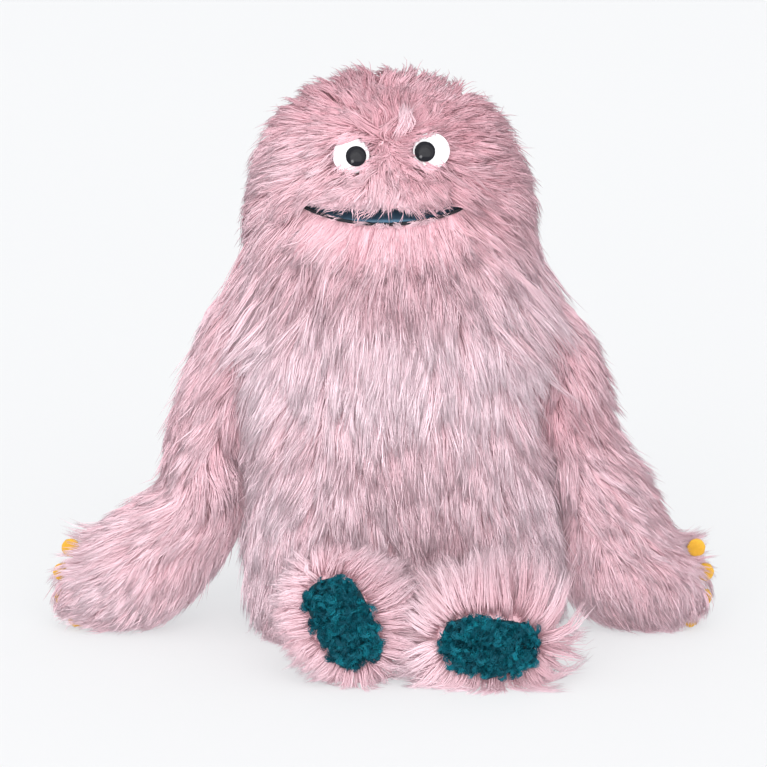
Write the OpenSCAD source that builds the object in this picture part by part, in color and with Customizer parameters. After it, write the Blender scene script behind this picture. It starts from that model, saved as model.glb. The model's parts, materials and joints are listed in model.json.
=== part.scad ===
// Moving mouth hand puppet: a seated long-pile fur monster with a wide mouth, long arms
// and two short feet. The operator's arm enters at the back and works the head and mouth.
// Millimetres. +Z is up, the puppet looks along -Y, and the origin is under the middle of
// the seat. Soft parts are drawn at the middle of the pile.

/* [Body] */
// Half width of the body just above the seat
belly_half_w = 98; // [92:1:102]
// Half depth of the body just above the seat
belly_half_d = 66; // [60:1:70]
// Thickness of the fur cover's backing and underpile
cover_t = 3; // [2:0.5:4]
// Width of the opening in the back
opening_w = 80; // [72:1:84]
// Height of the opening in the back
opening_h = 66; // [58:1:70]

/* [Head] */
// Half width of the head at the mouth
head_half_w = 88; // [84:1:92]
// Half depth of the head at the mouth
head_half_d = 66; // [62:1:68]
// Height of the crown above the seat
crown_z = 379; // [372:1:385]
// Half width of the mouth
mouth_half_w = 54; // [48:1:58]
// How far the mouth stands open at rest, in degrees
mouth_rest_open = 8.5; // [7:0.5:10]

/* [Eyes] */
// Diameter of the white of the eye
eye_d = 24; // [20:0.5:28]
// Diameter of the pupil
pupil_d = 13.5; // [11:0.5:15]

/* [Arms and feet] */
// Diameter of a felt nail
nail_d = 12.5; // [10:0.5:13]
// Length of a sole
sole_len = 66; // [58:1:70]
// Width of a sole
sole_w = 40; // [34:1:44]

/* [Hidden] */

LEFT = -1;
RIGHT = 1;
FUR = [0.84, 0.67, 0.71];
FILLING = [0.95, 0.94, 0.9];
LINING = [0.55, 0.45, 0.5];
MOUTH_BLUE = [0.27, 0.38, 0.48];
CLOTH_BLACK = [0.08, 0.08, 0.1];
BOARD = [0.72, 0.66, 0.55];
FELT_GOLD = [0.8, 0.58, 0.14];
TEAL = [0.05, 0.38, 0.42];
SHELL_WHITE = [0.95, 0.95, 0.93];

RING = 28; // points round a loft
ARC = 32; // points along a curved edge
SQUARENESS = 2.3; // 2 is an ellipse, more is squarer
EPS = 0.5; // overshoot of a cutter
GAP = 0.5; // air between a cover and what it holds
FLOOR_GAP = 0.6; // how far a limb stays off the ground

// Body profile: height, share of half width, share of half depth
BODY = [[3.3, 0.88, 0.88], [10, 0.96, 0.95], [40, 1, 1], [80, 0.99, 1], [119, 0.95, 0.97],
    [147, 0.91, 0.94], [174, 0.83, 0.91], [202, 0.72, 0.85], [226, 0.63, 0.76]];
seat_t = 3;
body_top = BODY[len(BODY) - 1][0];

// Sleeve for the operator's arm
channel_y = 16;
channel_half_w = 41;
channel_half_d = 28;
channel_squareness = 3;
channel_floor = 44;
duct_inset = 5; // how much smaller the sleeve's duct is than the opening
opening_z = 79;
sleeve_t = 1.2;
opening_r = 12;

// Neck
neck_z = [228, 236];
throat_z = [246.5, 253];
neck_half_w = 64;
neck_half_d = 44;
neck_y = 4;
neck_hole_half_w = 43;
neck_hole_half_d = 27;

// Head and mouth
hinge_z = 303;
nape_z = [270, 300];
palm_y = 29;
palm_half_w = 46;
palm_half_d = 22;
rear_wedge = 28; // slope that clears the nape when the mouth opens
HEAD = [[306, 1, 1], [325, 0.92, 0.94], [340, 0.84, 0.86], [354, 0.73, 0.75], [367, 0.57, 0.6],
    [374, 0.42, 0.44], [379, 0.16, 0.17]];
head_bottom = HEAD[0][0];
plate_rear = -3;
plate_corner = 6; // how much shorter the hinge edge is at each end
lining_t = 1;
board_t = 2.5;
lining_z = 0.2; // lining's distance from the hinge plane
board_z = lining_z + lining_t + 0.1;
plate_top = board_z + board_t + 0.1;
lip_inset = 0.3;
board_inset = cover_t + 1.5;
chin_z = 279;
finger_space = [92, 102, 30]; // width, depth and height above the mouth hinge

// Eyes: height and offset of each, with the pupils turned inwards
EYE_LEFT = [-22, 336];
EYE_RIGHT = [29, 339];
eye_y = -60;
eye_pitch = 18;
pupil_inset = 4;
shank_r = 2.4;
shank_len = 16;
washer_r = 8;
washer_t = 2;

// Arm: x and z of its centre line, half width in the frontal plane, half depth
shoulder_z = 216;
UPPER = [[97, 234, 8, 10], [97, 228, 15, 17], [98, 216, 19, 22], [105, 198, 21, 23],
    [114, 174, 22, 24], [120, 151, 23, 24], [124.3, 137, 22, 9.5], [125.6, 132.6, 21, 4.5]];
FORE = [[128.4, 123.4, 21, 4.5], [129.7, 119, 22, 9.5], [135.5, 104, 25, 26], [142, 87, 30, 26],
    [154, 64, 39, 26], [170, 44, 41, 25], [190, 32, 30, 22], [204, 28, 23, 17], [211, 27, 14, 9]];
arm_cover_t = 2.5;
gusset_x = [71.5, 76.5];
gusset_r = 12;
NAILS = [[214.5, 58.3], [220.7, 41], [219.7, 23], [211, 8]];
nail_t = 3;
nail_y = -5;

// Foot: distance from the hip, then shares of the sole's half length and half width
FOOT = [[5.5, 0.15, 0.2], [20, 0.5, 0.72], [36, 0.98, 1.35], [50, 1.24, 1.6], [60, 1.24, 1.5],
    [68, 1.1, 1.22]];
// Hip, middle of the sole, and the turn of the sole's long axis from upright
FOOT_LEFT = [[-36, -72, 40], [-26, -140, 46], 25];
FOOT_RIGHT = [[46, -72, 32], [68, -140, 30], 86];
foot_cover_t = 2.5;
hip_r = 3.5;
hip_len = 18;
sole_t = 3;

function sgn(v) = v < 0 ? -1 : 1;
function squarish(t, n) = [sgn(cos(t)) * pow(abs(cos(t)), 2 / n), sgn(sin(t)) * pow(abs(sin(t)), 2 / n)];
function flip(list) = [for (i = [len(list) - 1:-1:0]) list[i]];

// A level ring, anticlockwise from above
function ring(a, b, y0, z) =
    [for (i = [0:RING - 1]) let (p = squarish(360 * i / RING, SQUARENESS)) [a * p[0], y0 + b * p[1], z]];

// A closed outline of the same family, from angle t0 to t1
function outline(a, b, t0 = 0, t1 = 360, n = SQUARENESS) =
    [for (i = [0:t1 - t0 < 360 ? ARC : ARC - 1])
        let (p = squarish(t0 + (t1 - t0) * i / ARC, n)) [a * p[0], b * p[1]]];

// Skins a stack of rings. A looped stack joins its last ring to its first.
module skin(rings, looped = false) {
    n = len(rings[0]);
    rows = len(rings);
    steps = looped ? rows : rows - 1;
    sides = [for (r = [0:steps - 1]) for (j = [0:n - 1])
        let (k = (j + 1) % n, a = r * n, b = ((r + 1) % rows) * n)
            each [[a + j, b + j, b + k], [a + j, b + k, a + k]]];
    caps = looped ? [] : [[for (j = [0:n - 1]) j], [for (j = [n - 1:-1:0]) (rows - 1) * n + j]];
    polyhedron(points = [for (r = rings) each r], faces = concat(sides, caps));
}

// Torso ---------------------------------------------------------------------

function body_ring(s, inset) =
    ring(belly_half_w * s[1] - inset, belly_half_d * s[2] - inset, 0, s[0]);

module opening_outline(inset) {
    w = opening_w - 2 * inset;
    h = opening_h - 2 * inset;
    r = opening_r - inset;
    for (x = [-1, 1]) for (z = [-1, 1])
        translate([x * (w / 2 - r), z * (h / 2 - r)]) circle(r = r, $fn = 32);
    square([w, h - 2 * r], center = true);
    square([w - 2 * r, h], center = true);
}

// A bar of the back opening's shape, running along Y
module opening_bar(inset, y0, y1) {
    translate([0, y1, opening_z]) rotate([90, 0, 0]) linear_extrude(y1 - y0) opening_outline(inset);
}

module channel_bar(inset, z0, z1) {
    translate([0, channel_y, z0]) linear_extrude(z1 - z0)
        polygon(outline(channel_half_w - inset, channel_half_d - inset, n = channel_squareness));
}

module torso_fur() {
    outer = [for (s = BODY) body_ring(s, 0)];
    inner = [for (s = BODY) body_ring(s, cover_t)];
    color(FUR) difference() {
        skin(concat(outer, flip(inner)), looped = true);
        opening_bar(0, channel_y, belly_half_d + EPS);
    }
}

module seat_panel() {
    color(FUR) linear_extrude(seat_t)
        polygon(outline(belly_half_w * BODY[0][1], belly_half_d * BODY[0][2]));
}

module torso_filling() {
    color(FILLING) difference() {
        skin([for (s = BODY) body_ring(s, cover_t + GAP)]);
        channel_bar(0, channel_floor, body_top + EPS);
        opening_bar(0, channel_y, belly_half_d);
    }
}

module arm_sleeve() {
    duct_end = belly_half_d * 0.86;
    color(LINING) difference() {
        union() {
            channel_bar(GAP, channel_floor + GAP, body_top - GAP);
            opening_bar(duct_inset, channel_y, duct_end);
        }
        channel_bar(GAP + sleeve_t, channel_floor + GAP + sleeve_t, body_top);
        opening_bar(duct_inset + sleeve_t, channel_y, duct_end + EPS);
    }
}

module back_opening_binding() {
    binding_w = 3;
    y0 = belly_half_d * 0.875;
    y1 = belly_half_d + 1;
    color(CLOTH_BLACK) difference() {
        opening_bar(GAP, y0, y1);
        opening_bar(GAP + binding_w, y0 - EPS, y1 + EPS);
    }
}

// Neck ----------------------------------------------------------------------

// A flat ring between two outlines
module neck_band(z) {
    translate([0, 0, z[0]]) linear_extrude(z[1] - z[0]) difference() {
        children(0);
        children(1);
    }
}

module neck_outer(inset) {
    translate([0, neck_y]) polygon(outline(neck_half_w - inset, neck_half_d - inset));
}

module neck_hole(inset) {
    translate([0, channel_y]) polygon(outline(neck_hole_half_w - inset, neck_hole_half_d - inset));
}

module neck_fur() {
    color(FUR) neck_band(neck_z) {
        neck_outer(0);
        neck_hole(-GAP);
    }
}

module neck_lining() {
    color(LINING) neck_band(neck_z) {
        neck_hole(0);
        neck_hole(sleeve_t);
    }
}

module throat_fur() {
    color(FUR) neck_band(throat_z) {
        neck_outer(0);
        neck_hole(-GAP);
    }
}

module throat_lining() {
    color(LINING) neck_band(throat_z) {
        neck_hole(0);
        neck_hole(sleeve_t);
    }
}

// Head base: what the palm carries ------------------------------------------

module nape_fur() {
    outer = outline(head_half_w, head_half_d - 4, 6, 174);
    inner = outline(head_half_w - cover_t, head_half_d - 4 - cover_t, 6, 174);
    color(FUR) translate([0, 0, nape_z[0]]) linear_extrude(nape_z[1] - nape_z[0])
        polygon(concat(outer, flip(inner)));
}

module palm_lining() {
    thumb_way = 40;
    color(LINING) difference() {
        translate([0, palm_y, nape_z[0]]) linear_extrude(nape_z[1] - nape_z[0]) difference() {
            polygon(outline(palm_half_w, palm_half_d));
            polygon(outline(palm_half_w - sleeve_t, palm_half_d - sleeve_t));
        }
        translate([-thumb_way / 2, 0, nape_z[0] - EPS]) cube([thumb_way, palm_y, nape_z[1]]);
    }
}

module mouth_hinge() {
    r = 1.6;
    color(MOUTH_BLUE) translate([0, 0, hinge_z]) rotate([0, 90, 0])
        cylinder(r = r, h = 2 * (mouth_half_w - plate_corner), center = true, $fn = 32);
}

// Upper head ----------------------------------------------------------------

function head_w(z) = head_half_w * lookup(z, [for (s = HEAD) [s[0], s[1]]]);
function head_d(z) = head_half_d * lookup(z, [for (s = HEAD) [s[0], s[2]]]);
function wedge_z(y) = head_bottom + max(0, y - 4) * tan(rear_wedge);

// Rings from the wedge-cut underside to the crown, pulled in by inset and started lift higher
function head_rings(inset, lift) =
    let (top = HEAD[len(HEAD) - 1][0] - inset)
    [for (s = HEAD)
        let (f = (s[0] - head_bottom) / (HEAD[len(HEAD) - 1][0] - head_bottom))
        [for (i = [0:RING - 1])
            let (
                p = squarish(360 * i / RING, SQUARENESS),
                low = wedge_z(head_half_d * p[1]) + lift,
                z = low + (top - low) * f,
                grow = (crown_z - head_bottom) / (HEAD[len(HEAD) - 1][0] - head_bottom))
            [(head_w(z + inset / 2) - inset) * p[0], (head_d(z + inset / 2) - inset) * p[1],
                head_bottom + (z - head_bottom) * grow]]];

module eye_frame(at) {
    translate([at[0], eye_y, at[1]]) rotate([90 - eye_pitch, 0, 0]) children();
}

module head_fur() {
    hole_r = shank_r + 0.1;
    color(FUR) difference() {
        skin(concat(flip(head_rings(cover_t, 0)), head_rings(0, 0)));
        for (at = [EYE_LEFT, EYE_RIGHT])
            eye_frame(at) translate([0, 0, -2 * shank_len]) cylinder(r = hole_r, h = 3 * shank_len, $fn = 32);
    }
}

module head_filling() {
    pocket_front = -55;
    washer_room = 26;
    color(FILLING) difference() {
        skin(head_rings(cover_t + GAP, 1));
        translate([-finger_space[0] / 2, pocket_front, hinge_z - EPS])
            cube([finger_space[0], finger_space[1], finger_space[2] + EPS]);
        for (at = [EYE_LEFT, EYE_RIGHT])
            eye_frame(at) translate([0, 0, -washer_room])
                cylinder(r = washer_r + 1, h = washer_room, $fn = 32);
    }
}

// Plan of the mouth plates: straight hinge edge, front edge along the face
function plate_outline(inset) =
    let (
        w = mouth_half_w - inset,
        front = [for (i = [0:ARC])
            let (x = -w + 2 * w * i / ARC, s = pow(abs(x) / head_half_w, SQUARENESS))
            [x, -(head_half_d - 1 - inset) * pow(1 - s, 1 / SQUARENESS)]])
    concat(front, [[w - plate_corner, plate_rear], [plate_corner - w, plate_rear]]);

module plate(z0, t, inset) {
    translate([0, 0, z0]) linear_extrude(t) polygon(plate_outline(inset));
}

module lip(z0, t) {
    depth = 2.5;
    translate([0, 0, z0]) linear_extrude(t) difference() {
        polygon(plate_outline(lip_inset));
        polygon(plate_outline(depth));
        translate([-mouth_half_w, plate_rear - 6]) square([2 * mouth_half_w, 12]);
    }
}

module upper_palate_board() {
    color(BOARD) translate([0, 0, hinge_z]) plate(board_z, board_t, board_inset);
}

module upper_mouth_lining() {
    color(MOUTH_BLUE) translate([0, 0, hinge_z]) plate(lining_z, lining_t, lip_inset);
}

module upper_lip_piping() {
    color(CLOTH_BLACK) translate([0, 0, hinge_z]) lip(board_z, 1.6);
}

// A band across the fingers, standing on the board
module finger_strap() {
    w = 88;
    h = 24;
    t = 1.6;
    long = 22;
    foot_z = hinge_z + plate_top;
    color(CLOTH_BLACK) translate([0, -18, foot_z]) rotate([90, 0, 0]) linear_extrude(long) difference() {
        translate([-w / 2, 0]) square([w, h]);
        translate([-w / 2 + t, -EPS]) square([w - 2 * t, h - t + EPS]);
    }
}

module eye(at) {
    dome = 4.5;
    r = eye_d / 2;
    ball = (r * r + dome * dome) / (2 * dome);
    color(SHELL_WHITE) eye_frame(at) {
        difference() {
            union() {
                intersection() {
                    translate([0, 0, dome - ball]) sphere(r = ball, $fn = 96);
                    cylinder(r = r, h = dome, $fn = 64);
                }
                translate([0, 0, -shank_len]) cylinder(r = shank_r, h = shank_len + 1, $fn = 32);
            }
            pupil_seat(at) cylinder(r = pupil_d / 2 + 0.05, h = dome + 4, $fn = 48);
        }
    }
}

// The pupil sits in a shallow pocket, off the middle towards the nose
module pupil_seat(at) {
    inward = at[0] < 4 ? 1 : -1;
    translate([inward * pupil_inset, -0.8, 1.6]) children();
}

module pupil(at) {
    dome = 3.4;
    r = pupil_d / 2;
    rim = 1.8;
    ball = (r * r + (dome - rim) * (dome - rim)) / (2 * (dome - rim));
    color(CLOTH_BLACK) eye_frame(at) pupil_seat(at) union() {
        cylinder(r = r, h = rim, $fn = 48);
        intersection() {
            translate([0, 0, dome - ball]) sphere(r = ball, $fn = 96);
            translate([0, 0, rim - 0.2]) cylinder(r = r, h = dome, $fn = 48);
        }
    }
}

module eye_washers() {
    color(SHELL_WHITE) for (at = [EYE_LEFT, EYE_RIGHT])
        eye_frame(at) translate([0, 0, -shank_len + 2]) difference() {
            cylinder(r = washer_r, h = washer_t, $fn = 48);
            translate([0, 0, -EPS]) cylinder(r = shank_r + 0.05, h = washer_t + 2 * EPS, $fn = 32);
        }
}

// Jaw -----------------------------------------------------------------------

module jaw_frame() {
    translate([0, 0, hinge_z]) rotate([mouth_rest_open, 0, 0]) children();
}

// Everything above the jaw's covered parts, sloping with the open mouth
module above_jaw(below) {
    span = 300;
    jaw_frame() translate([-span / 2, -span / 2, -below]) cube([span, span, span]);
}

module chin_fur() {
    outer = outline(head_half_w, head_half_d, 184, 356);
    inner = outline(head_half_w - cover_t, head_half_d - cover_t, 184, 356);
    color(FUR) difference() {
        translate([0, 0, chin_z]) linear_extrude(hinge_z - chin_z) polygon(concat(outer, flip(inner)));
        above_jaw(2.2);
    }
}

module jaw_filling() {
    inset = cover_t + GAP;
    thumb_w = 36;
    thumb_long = 50;
    color(FILLING) difference() {
        translate([0, 0, chin_z]) linear_extrude(hinge_z - chin_z)
            polygon(outline(head_half_w - inset, head_half_d - inset, 186, 354));
        translate([-thumb_w / 2, -thumb_long, chin_z - EPS]) cube([thumb_w, thumb_long + EPS, 30]);
        above_jaw(plate_top + 0.1);
    }
}

module lower_palate_board() {
    color(BOARD) jaw_frame() plate(-board_z - board_t, board_t, board_inset);
}

module lower_mouth_lining() {
    color(MOUTH_BLUE) jaw_frame() plate(-lining_z - lining_t, lining_t, lip_inset);
}

module lower_lip_piping() {
    color(CLOTH_BLACK) jaw_frame() lip(-board_z - 0.7, 0.7);
}

// A loop under the board for the thumb
module thumb_strap() {
    w = 32;
    h = 14;
    t = 1.4;
    long = 14;
    color(CLOTH_BLACK) jaw_frame() translate([0, -18, -plate_top - h]) rotate([90, 0, 0])
        linear_extrude(long) difference() {
            translate([-w / 2, 0]) square([w, h]);
            translate([-w / 2 + t, t]) square([w - 2 * t, h]);
        }
}

// Arms ----------------------------------------------------------------------

// Direction of the centre line at station i
function arm_dir(list, i) =
    let (a = list[max(i - 1, 0)], b = list[min(i + 1, len(list) - 1)], v = [b[0] - a[0], b[1] - a[1]])
    v / norm(v);

function arm_rings(list, inset) =
    [for (i = [0:len(list) - 1])
        let (s = list[i], d = arm_dir(list, i), w = max(s[2] - inset, 1), h = max(s[3] - inset, 1))
        [for (j = [0:RING - 1])
            let (p = squarish(360 * j / RING, 2.2))
            [s[0] - d[1] * w * p[0], -h * p[1], max(s[1] + d[0] * w * p[0], FLOOR_GAP + inset)]]];

module side_of(side) {
    mirror([side == LEFT ? 1 : 0, 0, 0]) children();
}

module shoulder_gusset(side) {
    color(FUR) side_of(side) translate([gusset_x[0], 0, shoulder_z]) rotate([0, 90, 0])
        cylinder(r = gusset_r, h = gusset_x[1] - gusset_x[0], $fn = 48);
}

module upper_arm_fur(side) {
    color(FUR) side_of(side)
        skin(concat(arm_rings(UPPER, 0), flip(arm_rings(UPPER, arm_cover_t))), looped = true);
}

module upper_arm_filling(side) {
    full = arm_rings(UPPER, arm_cover_t + GAP);
    color(FILLING) side_of(side) skin([for (i = [1:len(full) - 2]) full[i]]);
}

// The cover closes over the paw, so its inside stops short of its tip
module forearm_fur(side) {
    full = arm_rings(FORE, arm_cover_t);
    inside = [for (i = [0:len(full) - 2]) full[i]];
    color(FUR) side_of(side) skin(concat(flip(inside), arm_rings(FORE, 0)));
}

module forearm_filling(side) {
    full = arm_rings(FORE, arm_cover_t + GAP);
    color(FILLING) side_of(side) skin([for (i = [1:len(full) - 3]) full[i]]);
}

module nails(side) {
    color(FELT_GOLD) side_of(side) for (p = NAILS)
        translate([p[0], nail_y, p[1]]) rotate([90, 0, 0]) cylinder(r = nail_d / 2, h = nail_t, $fn = 48);
}

// Feet ----------------------------------------------------------------------

function foot_rings(foot, inset) =
    let (hip = foot[0], end = foot[1], turn = foot[2], long = hip[1] - end[1])
    [for (s = FOOT)
        let (
            f = s[0] / long,
            x = hip[0] + (end[0] - hip[0]) * f,
            z = hip[2] + (end[2] - hip[2]) * f,
            a = max(s[1] * sole_len / 2 - inset, 1),
            b = max(s[2] * sole_w / 2 - inset, 1))
        [for (j = [0:RING - 1])
            let (p = squarish(360 * j / RING, 2.2), u = b * p[0], v = a * p[1])
            [x + u * cos(turn) - v * sin(turn), hip[1] - s[0],
                max(z + u * sin(turn) + v * cos(turn), FLOOR_GAP + inset)]]];

module hip_gusset(foot) {
    color(FUR) translate(foot[0]) rotate([0, 90, 0]) cylinder(r = hip_r, h = hip_len, center = true, $fn = 32);
}

module foot_fur(foot) {
    color(FUR) skin(concat(foot_rings(foot, 0), flip(foot_rings(foot, foot_cover_t))), looped = true);
}

module foot_filling(foot) {
    full = foot_rings(foot, foot_cover_t + GAP);
    color(FILLING) skin([for (i = [1:len(full) - 1]) full[i]]);
}

module sole(foot) {
    color(TEAL) translate([foot[1][0], foot[1][1] - GAP / 2, foot[1][2]]) rotate([90, -foot[2], 0])
        linear_extrude(sole_t) polygon(outline(sole_w / 2, sole_len / 2, n = 2.6));
}

torso_fur();
seat_panel();
torso_filling();
arm_sleeve();
back_opening_binding();
neck_fur();
neck_lining();
throat_fur();
throat_lining();
nape_fur();
palm_lining();
mouth_hinge();
head_fur();
head_filling();
upper_palate_board();
upper_mouth_lining();
upper_lip_piping();
finger_strap();
eye(EYE_LEFT);  // left_eye
eye(EYE_RIGHT);  // right_eye
pupil(EYE_LEFT);  // left_pupil
pupil(EYE_RIGHT);  // right_pupil
eye_washers();
chin_fur();
jaw_filling();
lower_palate_board();
lower_mouth_lining();
lower_lip_piping();
thumb_strap();
shoulder_gusset(LEFT);  // left_shoulder_gusset
shoulder_gusset(RIGHT);  // right_shoulder_gusset
upper_arm_fur(LEFT);  // left_upper_arm_fur
upper_arm_fur(RIGHT);  // right_upper_arm_fur
upper_arm_filling(LEFT);  // left_upper_arm_filling
upper_arm_filling(RIGHT);  // right_upper_arm_filling
forearm_fur(LEFT);  // left_forearm_fur
forearm_fur(RIGHT);  // right_forearm_fur
forearm_filling(LEFT);  // left_forearm_filling
forearm_filling(RIGHT);  // right_forearm_filling
nails(LEFT);  // left_nails
nails(RIGHT);  // right_nails
hip_gusset(FOOT_LEFT);  // left_hip_gusset
hip_gusset(FOOT_RIGHT);  // right_hip_gusset
foot_fur(FOOT_LEFT);  // left_foot_fur
foot_fur(FOOT_RIGHT);  // right_foot_fur
foot_filling(FOOT_LEFT);  // left_foot_filling
foot_filling(FOOT_RIGHT);  // right_foot_filling
sole(FOOT_LEFT);  // left_sole
sole(FOOT_RIGHT);  // right_sole
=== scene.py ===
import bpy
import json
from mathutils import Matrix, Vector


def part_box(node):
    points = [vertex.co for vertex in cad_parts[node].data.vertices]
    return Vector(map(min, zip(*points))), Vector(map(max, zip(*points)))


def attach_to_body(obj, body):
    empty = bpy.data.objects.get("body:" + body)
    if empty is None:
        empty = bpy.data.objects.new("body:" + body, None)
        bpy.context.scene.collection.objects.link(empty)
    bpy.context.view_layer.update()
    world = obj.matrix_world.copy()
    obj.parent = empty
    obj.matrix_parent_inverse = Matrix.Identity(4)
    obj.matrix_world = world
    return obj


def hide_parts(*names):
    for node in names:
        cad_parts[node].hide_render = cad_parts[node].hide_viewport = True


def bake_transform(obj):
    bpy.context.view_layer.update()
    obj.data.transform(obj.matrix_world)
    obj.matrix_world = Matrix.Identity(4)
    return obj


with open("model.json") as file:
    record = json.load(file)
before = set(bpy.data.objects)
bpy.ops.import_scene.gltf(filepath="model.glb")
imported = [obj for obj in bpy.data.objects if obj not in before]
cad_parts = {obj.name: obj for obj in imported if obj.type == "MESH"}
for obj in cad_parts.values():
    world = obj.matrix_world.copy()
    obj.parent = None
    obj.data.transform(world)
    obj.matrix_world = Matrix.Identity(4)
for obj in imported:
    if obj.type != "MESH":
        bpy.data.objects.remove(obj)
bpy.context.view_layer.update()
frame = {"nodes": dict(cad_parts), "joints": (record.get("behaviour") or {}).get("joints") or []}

import json
import math

import bmesh
import bpy
import numpy as np
from mathutils import Vector

MM = 0.001
RNG = np.random.default_rng(20)
JOINT = {j["name"]: j for j in frame["joints"]}


def low(node):
    return np.array(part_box(node)[0])


def high(node):
    return np.array(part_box(node)[1])


def middle(node):
    return (low(node) + high(node)) / 2


# ---------------------------------------------------------------- places, all taken from the frame

TORSO_HALF_W = high("torso_fur")[0]
TORSO_HALF_D = high("torso_fur")[1]
TORSO_TOP = high("torso_fur")[2]
HEAD_HALF_W = high("head_fur")[0]
HEAD_HALF_D = -low("head_fur")[1]
CROWN = high("head_fur")[2]
HINGE = np.array(JOINT["upper_jaw_lift"]["pos_m"])
MOUTH_HALF_W = high("upper_mouth_lining")[0]
LIP_FRONT = low("upper_mouth_lining")[1]
WHORL = np.array([7 * MM, -HEAD_HALF_D + 9 * MM, high("left_eye")[2] + 2 * MM])

# ---------------------------------------------------------------- small helpers


def smooth(a, b, x):
    t = np.clip((np.asarray(x, float) - a) / (b - a), 0, 1)
    return t * t * (3 - 2 * t)


def unit(v):
    return v / np.maximum(np.linalg.norm(v, axis=-1, keepdims=True), 1e-12)


def mix(a, b, t):
    t = np.asarray(t)[..., None] if np.ndim(a) > np.ndim(t) else t
    return a * (1 - t) + b * t


def full_turn(n):
    """n angles spread evenly round a circle."""
    return np.arange(n) * 2 * math.pi / n


def squarish(angles, power):
    """Points of a unit circle, or of a squarer ring for a power above 2."""
    c, s = np.cos(angles), np.sin(angles)
    return np.sign(c) * np.abs(c) ** (2 / power), np.sign(s) * np.abs(s) ** (2 / power)


def soften(line, times):
    """Evens out a row of numbers, apart from its two ends."""
    for _ in range(times):
        line[1:-1] = (line[:-2] + 2 * line[1:-1] + line[2:]) / 4


def read_off(at, places, rows):
    """Rows of numbers read off between the places where they are given."""
    return np.stack([np.interp(at, places, column) for column in np.transpose(rows)], -1)


def on_front(p):
    """1 on the body's front and 0 on its back, with a soft change over 30 mm."""
    return smooth(0.0, -30 * MM, p[:, 1])


def bumps(p, size, seed):
    """Smooth noise from -1 to 1 with features of about that size: a few crossed waves."""
    r = np.random.default_rng(seed)
    total = np.zeros(len(p))
    for k in range(5):
        d = r.normal(size=3)
        d = d / np.linalg.norm(d) * r.uniform(0.7, 1.4)
        total += np.sin((p @ d) * (2 * math.pi / size) + r.uniform(0, 6.28))
    return total / 2.6


# ---------------------------------------------------------------- the soft forms under the fur

SQUARE = 2.3


def to_line(pu, pv, line):
    """Distance to a polyline and the share of its length at the nearest point."""
    a, b = line[:-1], line[1:]
    d = b - a
    seg = np.maximum((d * d).sum(1), 1e-12)
    run = np.concatenate([[0], np.cumsum(np.sqrt(seg))])
    best = np.full(len(pu), 1e9)
    at = np.zeros(len(pu))
    for i in range(len(a)):
        t = np.clip(((pu - a[i, 0]) * d[i, 0] + (pv - a[i, 1]) * d[i, 1]) / seg[i], 0, 1)
        q = np.hypot(pu - a[i, 0] - t * d[i, 0], pv - a[i, 1] - t * d[i, 1])
        near = q < best
        best = np.where(near, q, best)
        at = np.where(near, run[i] + t * (run[i + 1] - run[i]), at)
    return best, at / run[-1]


class Bell:
    """Torso, neck and head as one form: level rings whose half width and half depth change with height."""

    def __init__(self):
        w, d, hw, hd = TORSO_HALF_W, TORSO_HALF_D, HEAD_HALF_W, HEAD_HALF_D
        bare = 5 * MM
        rows = [
            (0.0035, w * 0.87, d * 0.88), (0.012, w * 0.95, d * 0.95), (0.04, w, d), (0.08, w * 0.995, d),
            (0.119, w * 0.97, d * 0.98), (0.147, w * 0.95, d * 0.96), (0.174, w * 0.925, d * 0.93),
            (0.2, w * 0.905, d * 0.89), (TORSO_TOP, w * 0.9, d * 0.87), (0.25, hw * 1.0, hd * 0.88),
            (0.272, hw * 1.01, hd * 0.92), (0.29, hw * 1.01, hd * 0.97), (0.306, hw, hd),
            (0.325, hw * 0.93, hd * 0.95), (0.34, hw * 0.84, hd * 0.88), (0.354, hw * 0.72, hd * 0.77),
            (0.365, hw * 0.58, hd * 0.61), (0.373, hw * 0.4, hd * 0.43),
            (CROWN - bare, 0.12 * hw, 0.12 * hd),
        ]
        z = np.array([r[0] for r in rows])
        a = np.array([r[1] for r in rows]) - bare
        b = np.array([r[2] for r in rows]) - bare
        z[-3:-1] -= bare * 0.5
        a[-1] = b[-1] = 6 * MM
        fine = np.linspace(z[0], z[-1], 81)
        self.z = fine
        self.half_w = np.interp(fine, z, a)
        self.half_d = np.interp(fine, z, b)
        soften(self.half_w, 3)
        soften(self.half_d, 3)
        self.line = np.stack([np.append(self.half_w, 0), np.append(self.z, self.z[-1] + 0.8 * MM)], 1)
        self.lean = mix(mix(12 * MM, 6 * MM, smooth(0.06, 0.17, fine)), 3.5 * MM, smooth(0.2, 0.28, fine))

    def lips(self, p):
        """The skin comes forward to meet the mouth's cloth."""
        front = on_front(p) * smooth(MOUTH_HALF_W + 12 * MM, MOUTH_HALF_W - 8 * MM, abs(p[:, 0]))
        below_lips, spread = 4 * MM, 13 * MM
        return 3.5 * MM * np.exp(-(((p[:, 2] - HINGE[2] + below_lips) / spread) ** 2)) * front

    def sd(self, p):
        """Distance from the surface, below 0 inside."""
        z = p[:, 2]
        ratio = np.interp(z, self.z, self.half_w / self.half_d)
        x = p[:, 0] - np.interp(z, self.z, self.lean)
        rho = (np.abs(x) ** SQUARE + np.abs(p[:, 1] * ratio) ** SQUARE) ** (1 / SQUARE)
        best, _ = to_line(rho, z, self.line)
        inside = (rho < np.interp(z, self.z, self.half_w)) & (z > self.z[0] - 50 * MM) & (z < self.z[-1])
        return np.where(inside, -best, best) - self.lips(p)

    def ring(self, z, n=96, grow=0.0, angles=None):
        """A level ring at height z, grown outwards, or only the part of it at the given angles."""
        x, y = squarish(full_turn(n) if angles is None else angles, SQUARE)
        x = x * (np.interp(z, self.z, self.half_w) + grow)
        y = y * (np.interp(z, self.z, self.half_d) + grow)
        return np.stack([x + np.interp(z, self.z, self.lean), y, np.broadcast_to(z, x.shape)], 1)


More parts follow.
